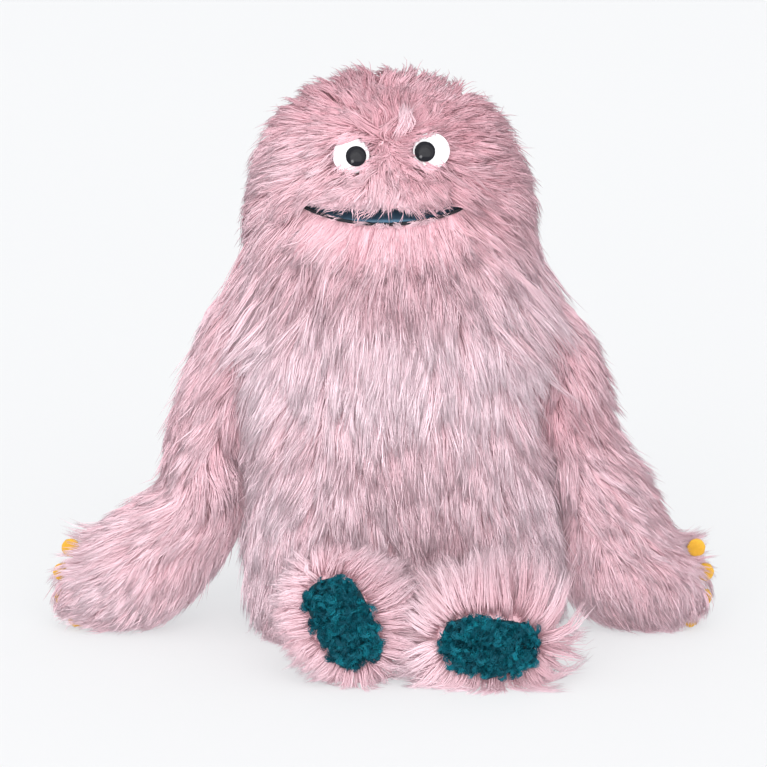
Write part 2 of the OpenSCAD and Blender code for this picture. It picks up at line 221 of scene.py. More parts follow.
def spline(points, n):
    """A smooth line through the points, with n places on it."""
    p = np.array(points, float)
    e = np.vstack([2 * p[0] - p[1], p, 2 * p[-1] - p[-2]])
    out = []
    for i in range(1, len(e) - 2):
        t = np.linspace(0, 1, n // (len(p) - 1), endpoint=False)[:, None]
        a, b, c, d = e[i - 1], e[i], e[i + 1], e[i + 2]
        bend = (2 * a - 5 * b + 4 * c - d) * t**2
        twist = (3 * b - a - 3 * c + d) * t**3
        out.append(0.5 * (2 * b + (c - a) * t + bend + twist))
    return np.vstack(out + [p[-1:]])


class Limb:
    """An arm: a line in the XZ plane with a half width in that plane and a half depth along Y."""

    def __init__(self, side):
        self.out_sign = 1 if side == "right" else -1
        shoulder = np.array(JOINT[side + "_shoulder_swing"]["pos_m"])
        elbow = np.array(JOINT[side + "_elbow_bend"]["pos_m"])
        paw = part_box(side + "_forearm_fur")
        tip = np.array([self.out_sign * max(abs(paw[0][0]), abs(paw[1][0])), 0, 0])
        m = self.out_sign
        # how far out each arm stands at its top, its middle and its lower part
        top, mid, lower = (9 * MM, 7 * MM, 13 * MM) if side == "right" else (-4 * MM, -5 * MM, -12 * MM)
        # x, z, half width, half depth
        rows = [
            (shoulder[0] - m * 5 * MM, shoulder[2] + 20 * MM, 3, 4),
            (shoulder[0] + m * (0.45 * top - 2 * MM), shoulder[2] + 14 * MM, 12, 13),
            (shoulder[0] + m * (2 * MM + 0.6 * top), shoulder[2], 16, 18),
            (shoulder[0] + m * (9 * MM + top), shoulder[2] - 22 * MM, 17, 19),
            (shoulder[0] + m * (18 * MM + mid), shoulder[2] - 48 * MM, 17, 19.5),
            (elbow[0] + m * (mid - 1 * MM), elbow[2], 17.5, 20),
            (elbow[0] + m * (6 * MM + lower), elbow[2] - 26 * MM, 20, 21),
            (elbow[0] + m * (13 * MM + lower), elbow[2] - 45 * MM, 24, 21.5),
            (elbow[0] + m * (26 * MM + 0.5 * lower), elbow[2] - 66 * MM, 28, 21.5),
            (tip[0] - m * 50 * MM, 45 * MM, 29, 21.5),
            (tip[0] - m * 32 * MM, 35 * MM, 25, 19.5),
            (tip[0] - m * 20 * MM, 30 * MM, 18, 14.5),
            (tip[0] - m * 6 * MM, 29 * MM, 9, 8),
        ]
        self.centre = spline([(r[0], r[1]) for r in rows], 60)
        n = len(self.centre)
        k = np.linspace(0, len(rows) - 1, n)
        self.half_w = np.interp(k, range(len(rows)), [r[2] * MM for r in rows])
        self.half_d = np.interp(k, range(len(rows)), [r[3] * MM for r in rows])
        soften(self.half_w, 4)
        soften(self.half_d, 4)
        step = np.linalg.norm(np.diff(self.centre, axis=0), axis=1)
        run = np.concatenate([[0], np.cumsum(step)])
        self.share = run / run[-1]
        self.way = unit(np.gradient(self.centre, axis=0))
        # hair on the paw spreads from here
        self.fan = read_off(0.56, self.share, self.centre)

    def sd(self, p):
        dist, at = to_line(p[:, 0], p[:, 2], self.centre)
        w, d = np.interp(at, self.share, self.half_w), np.interp(at, self.share, self.half_d)
        return np.hypot(dist, p[:, 1] * w / d) - w

    def along(self, p):
        """Direction of the centre line beside p, and how far p is to its outer side, in half widths."""
        _, at = to_line(p[:, 0], p[:, 2], self.centre)
        t = unit(read_off(at, self.share, self.way))
        n = np.stack([-t[:, 1], t[:, 0]], 1) * self.out_sign
        beside = p[:, [0, 2]] - read_off(at, self.share, self.centre)
        off = (beside[:, 0] * n[:, 0] + beside[:, 1] * n[:, 1]) / np.interp(at, self.share, self.half_w)
        return at, t, n, off

    def rings(self, n=40, grow=0.0):
        out = []
        a = full_turn(n)
        for i in range(len(self.centre)):
            side = np.array([-self.way[i, 1], self.way[i, 0]])
            w, d = self.half_w[i] + grow, self.half_d[i] + grow
            out.append(np.stack([self.centre[i, 0] + side[0] * w * np.cos(a), d * np.sin(a),
                                 np.maximum(self.centre[i, 1] + side[1] * w * np.cos(a), 1.5 * MM)], 1))
        return out


class Foot:
    """A foot: rings across a straight line from the hip to the sole, longer one way than the other."""

    def __init__(self, side, turn):
        self.hip = np.array(JOINT[side + "_hip_splay"]["pos_m"])
        sole_middle = middle(side + "_sole")
        self.end = np.array([sole_middle[0], high(side + "_sole")[1], sole_middle[2]])
        self.turn = math.radians(turn)
        self.short_way = np.array([math.cos(self.turn), 0, math.sin(self.turn)])
        self.long_way = np.array([-math.sin(self.turn), 0, math.cos(self.turn)])
        self.length = self.hip[1] - self.end[1]
        self.sole_l, self.sole_w = 33 * MM, 20 * MM
        self.places = np.array([-0.05, 0.08, 0.3, 0.53, 0.74, 0.88, 1.0])
        self.half_long = np.array([2, 8, 16, 28, 35, 35, 29.5]) * MM
        self.half_short = np.array([2, 8, 14, 21, 25, 24, 18]) * MM
        sides = [[h, s] for h, s in zip(self.half_long, self.places)]
        self.line = np.array([[0, -0.06]] + sides + [[0, 1.03]])

    def local(self, p):
        s = (self.hip[1] - p[:, 1]) / self.length
        c = self.hip + np.clip(s, 0, 1)[:, None] * (self.end - self.hip)
        q = p - c
        return q @ self.short_way, q @ self.long_way, s

    def sd(self, p):
        u, v, s = self.local(p)
        k = np.interp(s, self.places, self.half_long / self.half_short)
        rho = np.hypot(u * k, v)
        line = self.line * np.array([1, self.length])
        best, _ = to_line(rho, s * self.length, line)
        inside = (rho < np.interp(s, self.places, self.half_long)) & (s > -0.06) & (s < 1.02)
        return np.where(inside, -best, best)

    def rings(self, n=40, grow=0.0):
        out = []
        a = full_turn(n)
        for s, hv, hu in zip(self.places, self.half_long, self.half_short):
            c = self.hip + s * (self.end - self.hip)
            ring = c + np.outer(np.cos(a) * (hu + grow), self.short_way)
            ring = ring + np.outer(np.sin(a) * (hv + grow), self.long_way)
            ring[:, 2] = np.maximum(ring[:, 2], 1.5 * MM)
            out.append(ring)
        return out


def normal(form, p):
    """Outward normal of a form, from four nearby distances."""
    e = 0.5 * MM
    k = np.array([[1, -1, -1], [-1, -1, 1], [-1, 1, -1], [1, 1, 1]], float)
    return unit(sum(d * form.sd(p + e * d)[:, None] for d in k))


# ---------------------------------------------------------------- materials

def node_material(name, roughness=0.8, sheen=0.0, specular=0.5):
    m = bpy.data.materials.new(name)
    m.use_nodes = True
    nodes, links = m.node_tree.nodes, m.node_tree.links
    b = nodes["Principled BSDF"]
    b.inputs["Roughness"].default_value = roughness
    b.inputs["Sheen Weight"].default_value = sheen
    b.inputs["Specular IOR Level"].default_value = specular
    return m, nodes, links, b


def ramp(nodes, stops):
    r = nodes.new("ShaderNodeValToRGB")
    r.color_ramp.elements[0].position, r.color_ramp.elements[0].color = stops[0][0], (*stops[0][1], 1)
    r.color_ramp.elements[1].position, r.color_ramp.elements[1].color = stops[-1][0], (*stops[-1][1], 1)
    for at, c in stops[1:-1]:
        r.color_ramp.elements.new(at).color = (*c, 1)
    return r


def math_node(nodes, links, op, a, b):
    n = nodes.new("ShaderNodeMath")
    n.operation = op
    for i, v in enumerate((a, b)):
        if isinstance(v, (int, float)):
            n.inputs[i].default_value = v
        else:
            links.new(v, n.inputs[i])
    return n.outputs[0]


# shades that a strand can have, from deep to pale
CELLS = 48


def hair_material(name, deep, pale, roughness=0.5, specular=0.35, spread=0.12):
    """Colour runs along each strand, from root to tip, and across from a deep shade to a pale one."""
    m, nodes, links, b = node_material(name, roughness, 0.0, specular)
    uv = nodes.new("ShaderNodeUVMap")
    uv.uv_map = "OFBake"
    sep = nodes.new("ShaderNodeSeparateXYZ")
    links.new(uv.outputs[0], sep.inputs[0])
    column = math_node(nodes, links, "MULTIPLY", sep.outputs[0], float(CELLS))
    cell = math_node(nodes, links, "FLOOR", column, 0.0)
    sides = []
    for stops in (deep, pale):
        r = ramp(nodes, list(zip((0.0, 0.3, 0.7, 1.0), stops)))
        links.new(sep.outputs[1], r.inputs[0])
        sides.append(r.outputs[0])
    blend = nodes.new("ShaderNodeMix")
    blend.data_type = "RGBA"
    links.new(math_node(nodes, links, "DIVIDE", cell, float(CELLS - 1)), blend.inputs["Factor"])
    links.new(sides[0], blend.inputs["A"])
    links.new(sides[1], blend.inputs["B"])
    white = nodes.new("ShaderNodeTexWhiteNoise")
    white.noise_dimensions = "1D"
    links.new(cell, white.inputs["W"])
    hsv = nodes.new("ShaderNodeHueSaturation")
    links.new(blend.outputs["Result"], hsv.inputs["Color"])
    change = math_node(nodes, links, "MULTIPLY", white.outputs[0], spread)
    value = math_node(nodes, links, "ADD", change, 1 - spread / 2)
    links.new(value, hsv.inputs["Value"])
    links.new(hsv.outputs[0], b.inputs["Base Color"])
    return m


def cloth_material(name, dark, light, thread=0.7 * MM, roughness=0.85, sheen=0.3, strength=0.5, woven=0.35):
    """Woven cloth: two crossed wave bands for the threads, with a slow change of shade."""
    m, nodes, links, b = node_material(name, roughness, sheen, 0.3)
    coord = nodes.new("ShaderNodeTexCoord")
    waves = []
    for direction in ("X", "Y", "Z"):
        w = nodes.new("ShaderNodeTexWave")
        w.wave_type, w.bands_direction = "BANDS", direction
        w.inputs["Scale"].default_value = 0.314 / thread
        w.inputs["Distortion"].default_value = 0.6
        w.inputs["Detail"].default_value = 1.0
        links.new(coord.outputs["Object"], w.inputs["Vector"])
        waves.append(w.outputs["Fac"])
    weave = math_node(nodes, links, "MULTIPLY", math_node(nodes, links, "ADD", waves[0], waves[1]), waves[2])
    noise = nodes.new("ShaderNodeTexNoise")
    noise.inputs["Scale"].default_value = 90
    noise.inputs["Detail"].default_value = 5
    links.new(coord.outputs["Object"], noise.inputs["Vector"])
    threads = math_node(nodes, links, "MULTIPLY", weave, woven)
    clouds = math_node(nodes, links, "MULTIPLY", noise.outputs[0], 1 - woven)
    shade = math_node(nodes, links, "ADD", threads, clouds)
    r = ramp(nodes, [(0.25, dark), (0.75, light)])
    links.new(shade, r.inputs[0])
    links.new(r.outputs[0], b.inputs["Base Color"])
    bump = nodes.new("ShaderNodeBump")
    bump.inputs["Strength"].default_value = strength
    bump.inputs["Distance"].default_value = 0.25 * MM
    links.new(shade, bump.inputs["Height"])
    links.new(bump.outputs[0], b.inputs["Normal"])
    return m


def speckled(name, roughness, specular, scale, dark, light):
    """A plain finish with a slow change of shade, and its shader."""
    m, nodes, links, b = node_material(name, roughness, 0.0, specular)
    noise = nodes.new("ShaderNodeTexNoise")
    noise.inputs["Scale"].default_value = scale
    r = ramp(nodes, [(0.3, dark), (0.7, light)])
    links.new(noise.outputs[0], r.inputs[0])
    links.new(r.outputs[0], b.inputs["Base Color"])
    return m, b


# The long pile runs from a deeper root to a paler tip: partly its own colour, partly painted shade for the gaps
# between the locks.
FUR = hair_material(
    "long_pile",
    [(0.54, 0.27, 0.32), (0.58, 0.31, 0.36), (0.59, 0.33, 0.38), (0.61, 0.36, 0.415)],
    [(0.78, 0.53, 0.59), (0.80, 0.59, 0.65), (0.80, 0.635, 0.695), (0.81, 0.685, 0.745)], 0.5, 0.12, 0.06)
# The curly pile runs from near black at the root to bright teal at the tip: its own dark teal, with painted
# shade deep between the curls and painted highlights on their tips.
TEAL = hair_material(
    "curly_pile",
    [(0.0005, 0.012, 0.018), (0.001, 0.028, 0.042), (0.0015, 0.05, 0.073), (0.002, 0.065, 0.09)],
    [(0.001, 0.02, 0.03), (0.002, 0.06, 0.088), (0.003, 0.12, 0.165), (0.006, 0.24, 0.3)], 0.42, 0.12, 0.3)
BACKING = cloth_material("pile_backing", (0.56, 0.33, 0.375), (0.70, 0.46, 0.505), 0.9 * MM, 0.9, 0.0)
STUFFING = cloth_material("stuffing", (0.62, 0.6, 0.56), (0.85, 0.84, 0.8), 3 * MM, 0.95, 0.2, 0.8)
BLUE = cloth_material("mouth_cloth", (0.05, 0.11, 0.175), (0.115, 0.215, 0.32), 0.8 * MM, 0.8, 0.0, 0.5, 0.04)
BLACK = cloth_material("black_tape", (0.005, 0.005, 0.008), (0.016, 0.016, 0.021), 0.8 * MM, 0.8, 0.0)
LINING = cloth_material("lining", (0.16, 0.1, 0.13), (0.3, 0.2, 0.24), 0.6 * MM, 0.6, 0.4)
BOARD = cloth_material("board", (0.3, 0.24, 0.17), (0.42, 0.35, 0.26), 1.4 * MM, 0.8, 0.0, 0.3)
TEAL_BACK = cloth_material("curly_backing", (0.001, 0.02, 0.028), (0.002, 0.04, 0.055), 0.8 * MM, 0.9, 0.0)
FELT = cloth_material("felt", (0.46, 0.235, 0.015), (0.68, 0.38, 0.035), 0.45 * MM, 0.95, 0.3, 0.8)
EYE_WHITE, _ = speckled("eye_white", 0.3, 0.4, 60, (0.66, 0.655, 0.67), (0.72, 0.715, 0.73))
PUPIL, _ = speckled("pupil_black", 0.05, 0.16, 80, (0.004, 0.004, 0.006), (0.012, 0.012, 0.016))

# ---------------------------------------------------------------- meshes from arrays


def solid(name, verts, faces, material, thick=0.0):
    """A piece from vertices and faces. An open surface gets a thickness inwards."""
    used = sorted({i for f in faces for i in f})
    new = {old: i for i, old in enumerate(used)}
    me = bpy.data.meshes.new(name)
    me.from_pydata([tuple(verts[i]) for i in used], [], [tuple(new[i] for i in f) for f in faces])
    bm = bmesh.new()
    bm.from_mesh(me)
    bmesh.ops.recalc_face_normals(bm, faces=bm.faces)
    if thick:
        bmesh.ops.solidify(bm, geom=bm.faces, thickness=thick)
        bmesh.ops.recalc_face_normals(bm, faces=bm.faces)
    bm.to_mesh(me)
    bm.free()
    me.polygons.foreach_set("use_smooth", np.ones(len(me.polygons), bool))
    me.materials.append(material)
    me.validate()
    o = bpy.data.objects.new(name, me)
    bpy.context.scene.collection.objects.link(o)
    return o


def rides(body):
    return lambda o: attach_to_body(o, body)


def up(z):
    return (0, 0, z)


def blends(a, b, start, end):
    """Bakes a piece's transform into its mesh. The bodies a and b are not used, nor are start and end, which are
    heights or points.
    """
    start, end = (up(z) if np.ndim(z) == 0 else z for z in (start, end))
    return lambda o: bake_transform(o)


def hand_over(o, attach, slot, *nodes):
    """Hands a piece to attach, and hides the CAD nodes that it stands for. The slot is not used."""
    attach(o)
    nodes = [node for node in nodes if node]
    if nodes:
        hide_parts(*nodes)


def joined(parts):
    """One list of vertices and one of faces from several."""
    verts, faces, n = [], [], 0
    for v, f in parts:
        verts.append(v)
        faces += [tuple(i + n for i in q) for q in f]
        n += len(v)
    return np.vstack(verts), faces


def lathe(profile, centre, axis, sides=64):
    """A turned solid. The profile gives radius and height, and starts and ends on the axis."""
    axis = np.array(axis, float)
    across = unit(np.cross(axis, [0.2, 0.3, 0.93]))
    other = np.cross(axis, across)
    a = full_turn(sides)
    circle = np.outer(np.cos(a), across) + np.outer(np.sin(a), other)
    rings = [centre + axis * h + circle * r for r, h in profile[1:-1]]
    v, f = tube(rings, False, False)
    n = len(v)
    last = n - sides
    v = np.vstack([v, centre + axis * profile[0][1], centre + axis * profile[-1][1]])
    for j in range(sides):
        k = (j + 1) % sides
        f += [(n, k, j), (n + 1, last + j, last + k)]
    return v, f


def sweep(points, radius, sides=8):
    """A round tube along a line, rounded off at its ends."""
    p = np.asarray(points, float)
    t = unit(np.gradient(p, axis=0))
    across = unit(np.cross(t, [0.0, 0.05, 1.0]))
    other = np.cross(t, across)
    a = full_turn(sides)
    radius = np.broadcast_to(radius, (len(p),)).copy()
    radius[[0, -1]] *= 0.4
    rings = [p[i] + (np.outer(np.cos(a), across[i]) + np.outer(np.sin(a), other[i])) * radius[i]
             for i in range(len(p))]
    return tube(rings)


def grid(points):
    """Vertices and faces of a net given as rows x columns x 3."""
    rows, columns = points.shape[:2]
    f = [(r * columns + c, r * columns + c + 1, (r + 1) * columns + c + 1, (r + 1) * columns + c)
         for r in range(rows - 1) for c in range(columns - 1)]
    return points.reshape(-1, 3), f


def tube(rings, cap0=True, cap1=True):
    """Vertices and faces of a skin over rings of equal count."""
    n = len(rings[0])
    v = np.vstack(rings)
    f = []
    for r in range(len(rings) - 1):
        for j in range(n):
            k = (j + 1) % n
            f.append((r * n + j, r * n + k, (r + 1) * n + k, (r + 1) * n + j))
    if cap0:
        f.append(tuple(reversed(range(n))))
    if cap1:
        f.append(tuple(range((len(rings) - 1) * n, len(rings) * n)))
    return v, f


def sample(verts, faces, count, rng):
    """Points spread evenly over a mesh."""
    tri = []
    for f in faces:
        for i in range(1, len(f) - 1):
            tri.append((f[0], f[i], f[i + 1]))
    tri = np.array(tri)
    a, b, c = verts[tri[:, 0]], verts[tri[:, 1]], verts[tri[:, 2]]
    area = np.linalg.norm(np.cross(b - a, c - a), axis=1) / 2
    run = np.concatenate([[0], np.cumsum(area)])
    at = (np.arange(count) + rng.uniform(0, 1, count)) / count * run[-1]
    i = np.clip(np.searchsorted(run, at, side="right") - 1, 0, len(tri) - 1)
    r1, r2 = np.sqrt(rng.uniform(0, 1, count)), rng.uniform(0, 1, count)
    return a[i] * (1 - r1)[:, None] + b[i] * (r1 * (1 - r2))[:, None] + c[i] * (r1 * r2)[:, None], run[-1]


def strand_mesh(name, path, radius, shade, taper, material):
    """One closed three-sided tapering tube for each strand. path is strands x points x 3."""
    n, k = path.shape[:2]
    tangent = unit(np.gradient(path, axis=1))
    ref = unit(path[:, -1] - path[:, 0])
    side = unit(np.cross(ref, np.array([0.31, 0.17, 0.93])))[:, None, :]
    side = unit(side - (side * tangent).sum(-1, keepdims=True) * tangent)
    other = np.cross(tangent, side)
    rings = k - 1
    verts = np.zeros((n, rings * 3 + 1, 3))
    for j in range(3):
        a = 2 * math.pi * j / 3
        way = side[:, :rings] * math.cos(a) + other[:, :rings] * math.sin(a)
        verts[:, j:rings * 3:3] = path[:, :rings] + way * (radius[:, None] * taper[:rings])[..., None]
    verts[:, -1] = path[:, -1]
    sides = [(j, (j + 1) % 3) for j in range(3)]
    quads = [(r + j, r + k1, r + 3 + k1, r + 3 + j) for r in range(0, 3 * rings - 3, 3) for j, k1 in sides]
    last = (rings - 1) * 3
    tris = [(last + j, last + k1, rings * 3) for j, k1 in sides] + [(2, 1, 0)]
    one = np.array([i for q in quads for i in q] + [i for t in tris for i in t])
    sizes = np.array([4] * len(quads) + [3] * len(tris))
    per = rings * 3 + 1
    loops = (one[None, :] + (np.arange(n) * per)[:, None]).ravel()
    totals = np.tile(sizes, n)
    starts = np.concatenate([[0], np.cumsum(totals)[:-1]])
    me = bpy.data.meshes.new(name)
    me.vertices.add(n * per)
    me.vertices.foreach_set("co", verts.astype(np.float32).ravel())
    me.loops.add(len(loops))
    me.loops.foreach_set("vertex_index", loops.astype(np.int32))
    me.polygons.add(len(totals))
    me.polygons.foreach_set("loop_start", starts.astype(np.int32))
    me.polygons.foreach_set("use_smooth", np.ones(len(totals), bool))
    me.update(calc_edges=True)
    # the strand's own column, with its length along V
    along = np.repeat(np.linspace(0, 1, k)[:rings], 3)
    v_of = np.append(along, 1.0)
    u_of = np.append(np.tile([0.15, 0.5, 0.85], rings), 0.5)
    cell = np.floor(shade * CELLS)
    u = (cell[:, None] + 0.1 + 0.8 * u_of[None, one]) / CELLS
    v = np.broadcast_to(0.01 + 0.98 * v_of[None, one], u.shape)
    layer = me.uv_layers.new(name="OFBake")
    layer.data.foreach_set("uv", np.stack([u, v], -1).astype(np.float32).ravel())
    me.materials.append(material)
    o = bpy.data.objects.new(name, me)
    bpy.context.scene.collection.objects.link(o)
    return o


# ---------------------------------------------------------------- growing fur

POINTS = 5
TAPER = np.array([0.8, 1.0, 0.92, 0.58, 0.0])
FLOOR = 0.9 * MM
BACK_SOFT, BACK_ROOM = TORSO_HALF_D + 9 * MM, 6 * MM
STEPS = 8
MIDDLE_SHADE = 0.65


def nearest(a, b):
    """For each point of a, the index of the nearest point of b."""
    out = np.zeros(len(a), int)
    for i in range(0, len(a), 400):
        out[i:i + 400] = ((a[i:i + 400, None] - b[None]) ** 2).sum(-1).argmin(1)
    return out


def along(path, at):
    """Points of paths (n x k x 3) at shares (n x m) of their length."""
    k = path.shape[1] - 1
    f = np.clip(at, 0, 1) * k
    i = np.clip(np.floor(f).astype(int), 0, k - 1)
    f = (f - i)[..., None]
    rows = np.arange(len(path))[:, None]
    return path[rows, i] * (1 - f) + path[rows, i + 1] * f


def trimmed(path, barred):
    """Paths cut short where they would enter a barred place, and which of them are worth keeping."""
    fine = np.linspace(0, 1, 21)
    pts = along(path, np.broadcast_to(fine, (len(path), len(fine))))
    hit = barred(pts)
    first = np.where(hit.any(1), hit.argmax(1), len(fine))
    end = np.clip((first - 1) / 20, 0, 1)
    cut = first < len(fine)
    new = path.copy()
    if cut.any():
        new[cut] = along(path[cut], end[cut][:, None] * np.linspace(0, 1, path.shape[1])[None, :])
    return new, end > 0.16


def share_of(value, n):
    """One number for all n locks, or one for each."""
    return np.broadcast_to(np.asarray(value, float), (n,))


class Fur:
    """Strands gathered while they grow, then cut into pieces by where their roots are."""

    def __init__(self):
        self.path, self.radius, self.shade, self.kind = [], [], [], []

    def guides(self, form, roots, flow, length, lift0, lift1, turn):
        """A line for each lock, grown step by step over the skin, with the skin's normal at its root."""
        n = len(roots)
        p = roots - normal(form, roots) * form.sd(roots)[:, None]
        skin = nn = normal(form, p)
        length = share_of(length, n) * RNG.uniform(0.8, 1.15, n)
        lift0 = share_of(lift0, n) * RNG.uniform(0.8, 1.2, n)
        lift1 = share_of(lift1, n) + RNG.normal(0, 2.5, n)
        turn = RNG.normal(0, 1, n) * share_of(turn, n)
        guide = [p]
        for i in range(STEPS):
            s = (i + 0.5) / STEPS
            t = flow(p, nn)
            t = unit(t - (t * nn).sum(1, keepdims=True) * nn)
            b = np.cross(nn, t)
            yaw = np.radians(turn * (0.3 + s))
            t = t * np.cos(yaw)[:, None] + b * np.sin(yaw)[:, None]
            lift = np.radians(lift0 + (lift1 - lift0) * s**0.6)
            d = t * np.cos(lift)[:, None] + nn * np.sin(lift)[:, None]
            p = p + d * (length / STEPS)[:, None]
            under = np.maximum(FLOOR - p[:, 2], 0)
            p[:, 2] += under
            p[:, :2] += unit(nn[:, :2] + 1e-6) * (0.6 * under)[:, None]
            nn = normal(form, p)
            guide.append(p)
        return np.stack(guide, 1), skin, length

    def banded(self, guide, band):
        """Neighbouring locks lean together into wider ones, and those a little into wider ones again."""
        n = len(guide)
        s = np.linspace(0, 1, STEPS + 1)
        for share, pull in ((7, band), (30, 0.5 * np.asarray(band))):
            heads = RNG.permutation(n)[:max(n // share, 1)]
            own = heads[nearest(guide[:, 0], guide[heads, 0])]
            hold = (share_of(pull, n) * RNG.uniform(0.5, 1.2, n))[:, None] * smooth(0.1, 1.0, s)[None, :]
            guide = guide + (guide[own] - guide) * hold[..., None]
        return guide

    def kept_out(self, form, path):
        """Strands that never go back into the form, under the floor or far past the back."""
        m = len(path)
        flat = path[:, 1:].reshape(-1, 3)
        need = np.tile(np.linspace(0.8, 2.5, POINTS - 1) * MM, m)
        sink = np.maximum(need - form.sd(flat), 0)
        bad = sink > 0
        flat[bad] += normal(form, flat[bad]) * sink[bad][:, None]
        path[:, 1:] = flat.reshape(m, POINTS - 1, 3)
        path[:, :, 2] = np.maximum(path[:, :, 2], FLOOR * (0.6 + 0.8 * RNG.uniform(0, 1, m))[:, None])
        behind = path[:, :, 1] - BACK_SOFT
        path[:, :, 1] = BACK_SOFT + BACK_ROOM * np.tanh(np.maximum(behind, 0) / BACK_ROOM)
        path[:, :, 1] += np.minimum(behind, 0)
        return path

    def add(self, form, roots, flow, length, lift0, lift1, kind, per=14, spread=2.6 * MM, width=0.4 * MM,
            gather=0.72, band=0.42, wave=1.15 * MM, stray=0.16, tone=0.0, barred=(), turn=6.0, press=None):
        """Grows a lock at each root. flow(p, n) is its way over the skin. Most values may differ by lock."""
        n = len(roots)
        guide, skin, length = self.guides(form, roots, flow, length, lift0, lift1, turn)
        guide = self.banded(guide, band)
        # roots of the strands, spread round each lock's own
        owner = np.repeat(np.arange(n), per)
        m = len(owner)
        g0, n0 = guide[owner, 0], skin[owner]
        e1 = unit(np.cross(n0, np.array([0.13, 0.52, 0.84])))
        e2 = np.cross(n0, e1)
        r, a = spread * np.sqrt(RNG.uniform(0, 1, m)) * 1.4, RNG.uniform(0, 2 * math.pi, m)
        root = g0 + e1 * (r * np.cos(a))[:, None] + e2 * (r * np.sin(a))[:, None]
        root = root - n0 * form.sd(root)[:, None]
        off = root - g0
        # each strand follows the lock, and most draw together towards its tip
        loose = RNG.uniform(0, 1, m) < share_of(stray, n)[owner]
        share = RNG.uniform(0.7, 1.0, m)
        s = np.linspace(0, 1, POINTS)
        path = along(guide[owner], s[None, :] * share[:, None])
        gathered = np.where(loose, 0.2, share_of(gather, n)[owner] * RNG.uniform(0.8, 1.1, m))
        hold = 1 - gathered[:, None] * smooth(0.0, 0.9, s)[None, :]
        path = path + off[:, None, :] * hold[..., None]
        # a slow wave that the strands of a lock share, and a bend of each strand's own
        t = unit(path[:, -1] - path[:, 0])
        b = unit(np.cross(n0, t))
        phase = (RNG.uniform(0, 6.28, n)[owner] + RNG.normal(0, 0.5, m))[:, None]
        turns = RNG.uniform(0.5, 1.15, n)[owner][:, None] * 2 * math.pi * s
        swing = (share_of(wave, n)[owner] * RNG.uniform(0.4, 1.5, n)[owner])[:, None]
        swing = swing * smooth(0.05, 0.5, s)[None, :]
        path = path + b[:, None, :] * (swing * np.sin(phase + turns))[..., None]
        path = path + n0[:, None, :] * (0.6 * swing * np.cos(phase * 1.7 + turns))[..., None]
        sway = RNG.normal(0, 1, m) * np.where(loose, 0.1, 0.025) * length[owner]
        rise = RNG.normal(0, 1, m) * np.where(loose, 0.07, 0.025) * length[owner]
        path = path + b[:, None, :] * (sway[:, None] * s**1.5)[..., None]
        path = path + n0[:, None, :] * (rise[:, None] * s**1.5)[..., None]
        path = self.kept_out(form, path)
        if press:
            path = press(path)
        ok = np.ones(m, bool)
        for test in barred:
            path, fine = trimmed(path, test)
            ok &= fine
        shade = MIDDLE_SHADE + share_of(tone, n)[owner]
        shade = shade + 0.085 * RNG.normal(0, 1, n)[owner] + 0.06 * RNG.normal(0, 1, m)
        shade += 0.12 * bumps(g0, 0.11, 21) + 0.08 * bumps(g0, 0.04, 22)
        self.path.append(path[ok])
        self.radius.append(width * RNG.uniform(0.7, 1.25, m)[ok])
        self.shade.append(np.clip(shade, 0, 0.999)[ok])
        self.kind.append(np.full(ok.sum(), kind))

    def close(self):
        self.path = np.concatenate(self.path)
        self.root = self.path[:, 0]
        self.radius = np.concatenate(self.radius)
        self.shade = np.concatenate(self.shade)
        self.kind = np.concatenate(self.kind)
        self.left = np.ones(len(self.root), bool)

    def piece(self, name, mask, attach, limit=9000):
        """Makes the strands of the mask into pieces of at most limit strands, and hands each to attach."""
        idx = np.flatnonzero(mask & self.left)
        self.left[idx] = False
        if not len(idx):
            return
        parts = -(-len(idx) // limit)
        idx = idx[np.argsort(self.root[idx, 0] * 1.3 + self.root[idx, 1], kind="stable")]
        for i, part in enumerate(np.array_split(idx, parts)):
            label = name if parts == 1 else f"{name}_{i + 1}"
            o = strand_mesh(label, self.path[part], self.radius[part], self.shade[part], TAPER, FUR)
            hand_over(o, attach, "pink_fur")


# ---------------------------------------------------------------- flows

bell = Bell()
arms = {side: Limb(side) for side in ("left", "right")}
feet = {"left": Foot("left", 25), "right": Foot("right", 86)}


def stir(t, n, p, *waves):
    """Turns directions t about n by sums of smooth noise, given as (size, seed, degrees)."""
    a = np.radians(sum(bumps(p, size, seed) * deg for size, seed, deg in waves))[:, None]
    return t * np.cos(a) + np.cross(n, t) * np.sin(a)


def off_whorl(p):
    return np.linalg.norm((p - WHORL)[:, [0, 2]], axis=1)


def head_flow(p, n):
    """Out from the whorl between the eyes, then down over the neck and the torso."""
    away = unit(p - WHORL)
    away[:, 1] = np.maximum(away[:, 1], 0)
    lower = smooth(0.315, 0.225, p[:, 2])
    width_here = mix(0.34, 0.2, smooth(0.1, 0.26, p[:, 2]))
    down = unit(np.stack([(p[:, 0] - 4 * MM) / width_here, 0 * p[:, 0], -np.ones(len(p))], 1))
    back = smooth(0.0, 0.05, p[:, 1])
    t = mix(away, down, np.maximum(lower, 0.85 * back * smooth(0.365, 0.335, p[:, 2])))
    t = t + np.array([0, 0.5, 0]) * (back * smooth(0.34, 0.37, p[:, 2]))[:, None]
    near = smooth(0.045, 0.012, off_whorl(p)) * (p[:, 1] < 0)
    calm = stir(t, n, p, (0.1, 4, 10), (0.035, 5, 7))
    wild = stir(t, n, p, (0.028, 6, 48))
    return mix(calm, wild, near)


def level(xz):
    """Directions in the XZ plane as directions in space."""
    return np.stack([xz[:, 0], 0 * xz[:, 0], xz[:, 1]], 1)


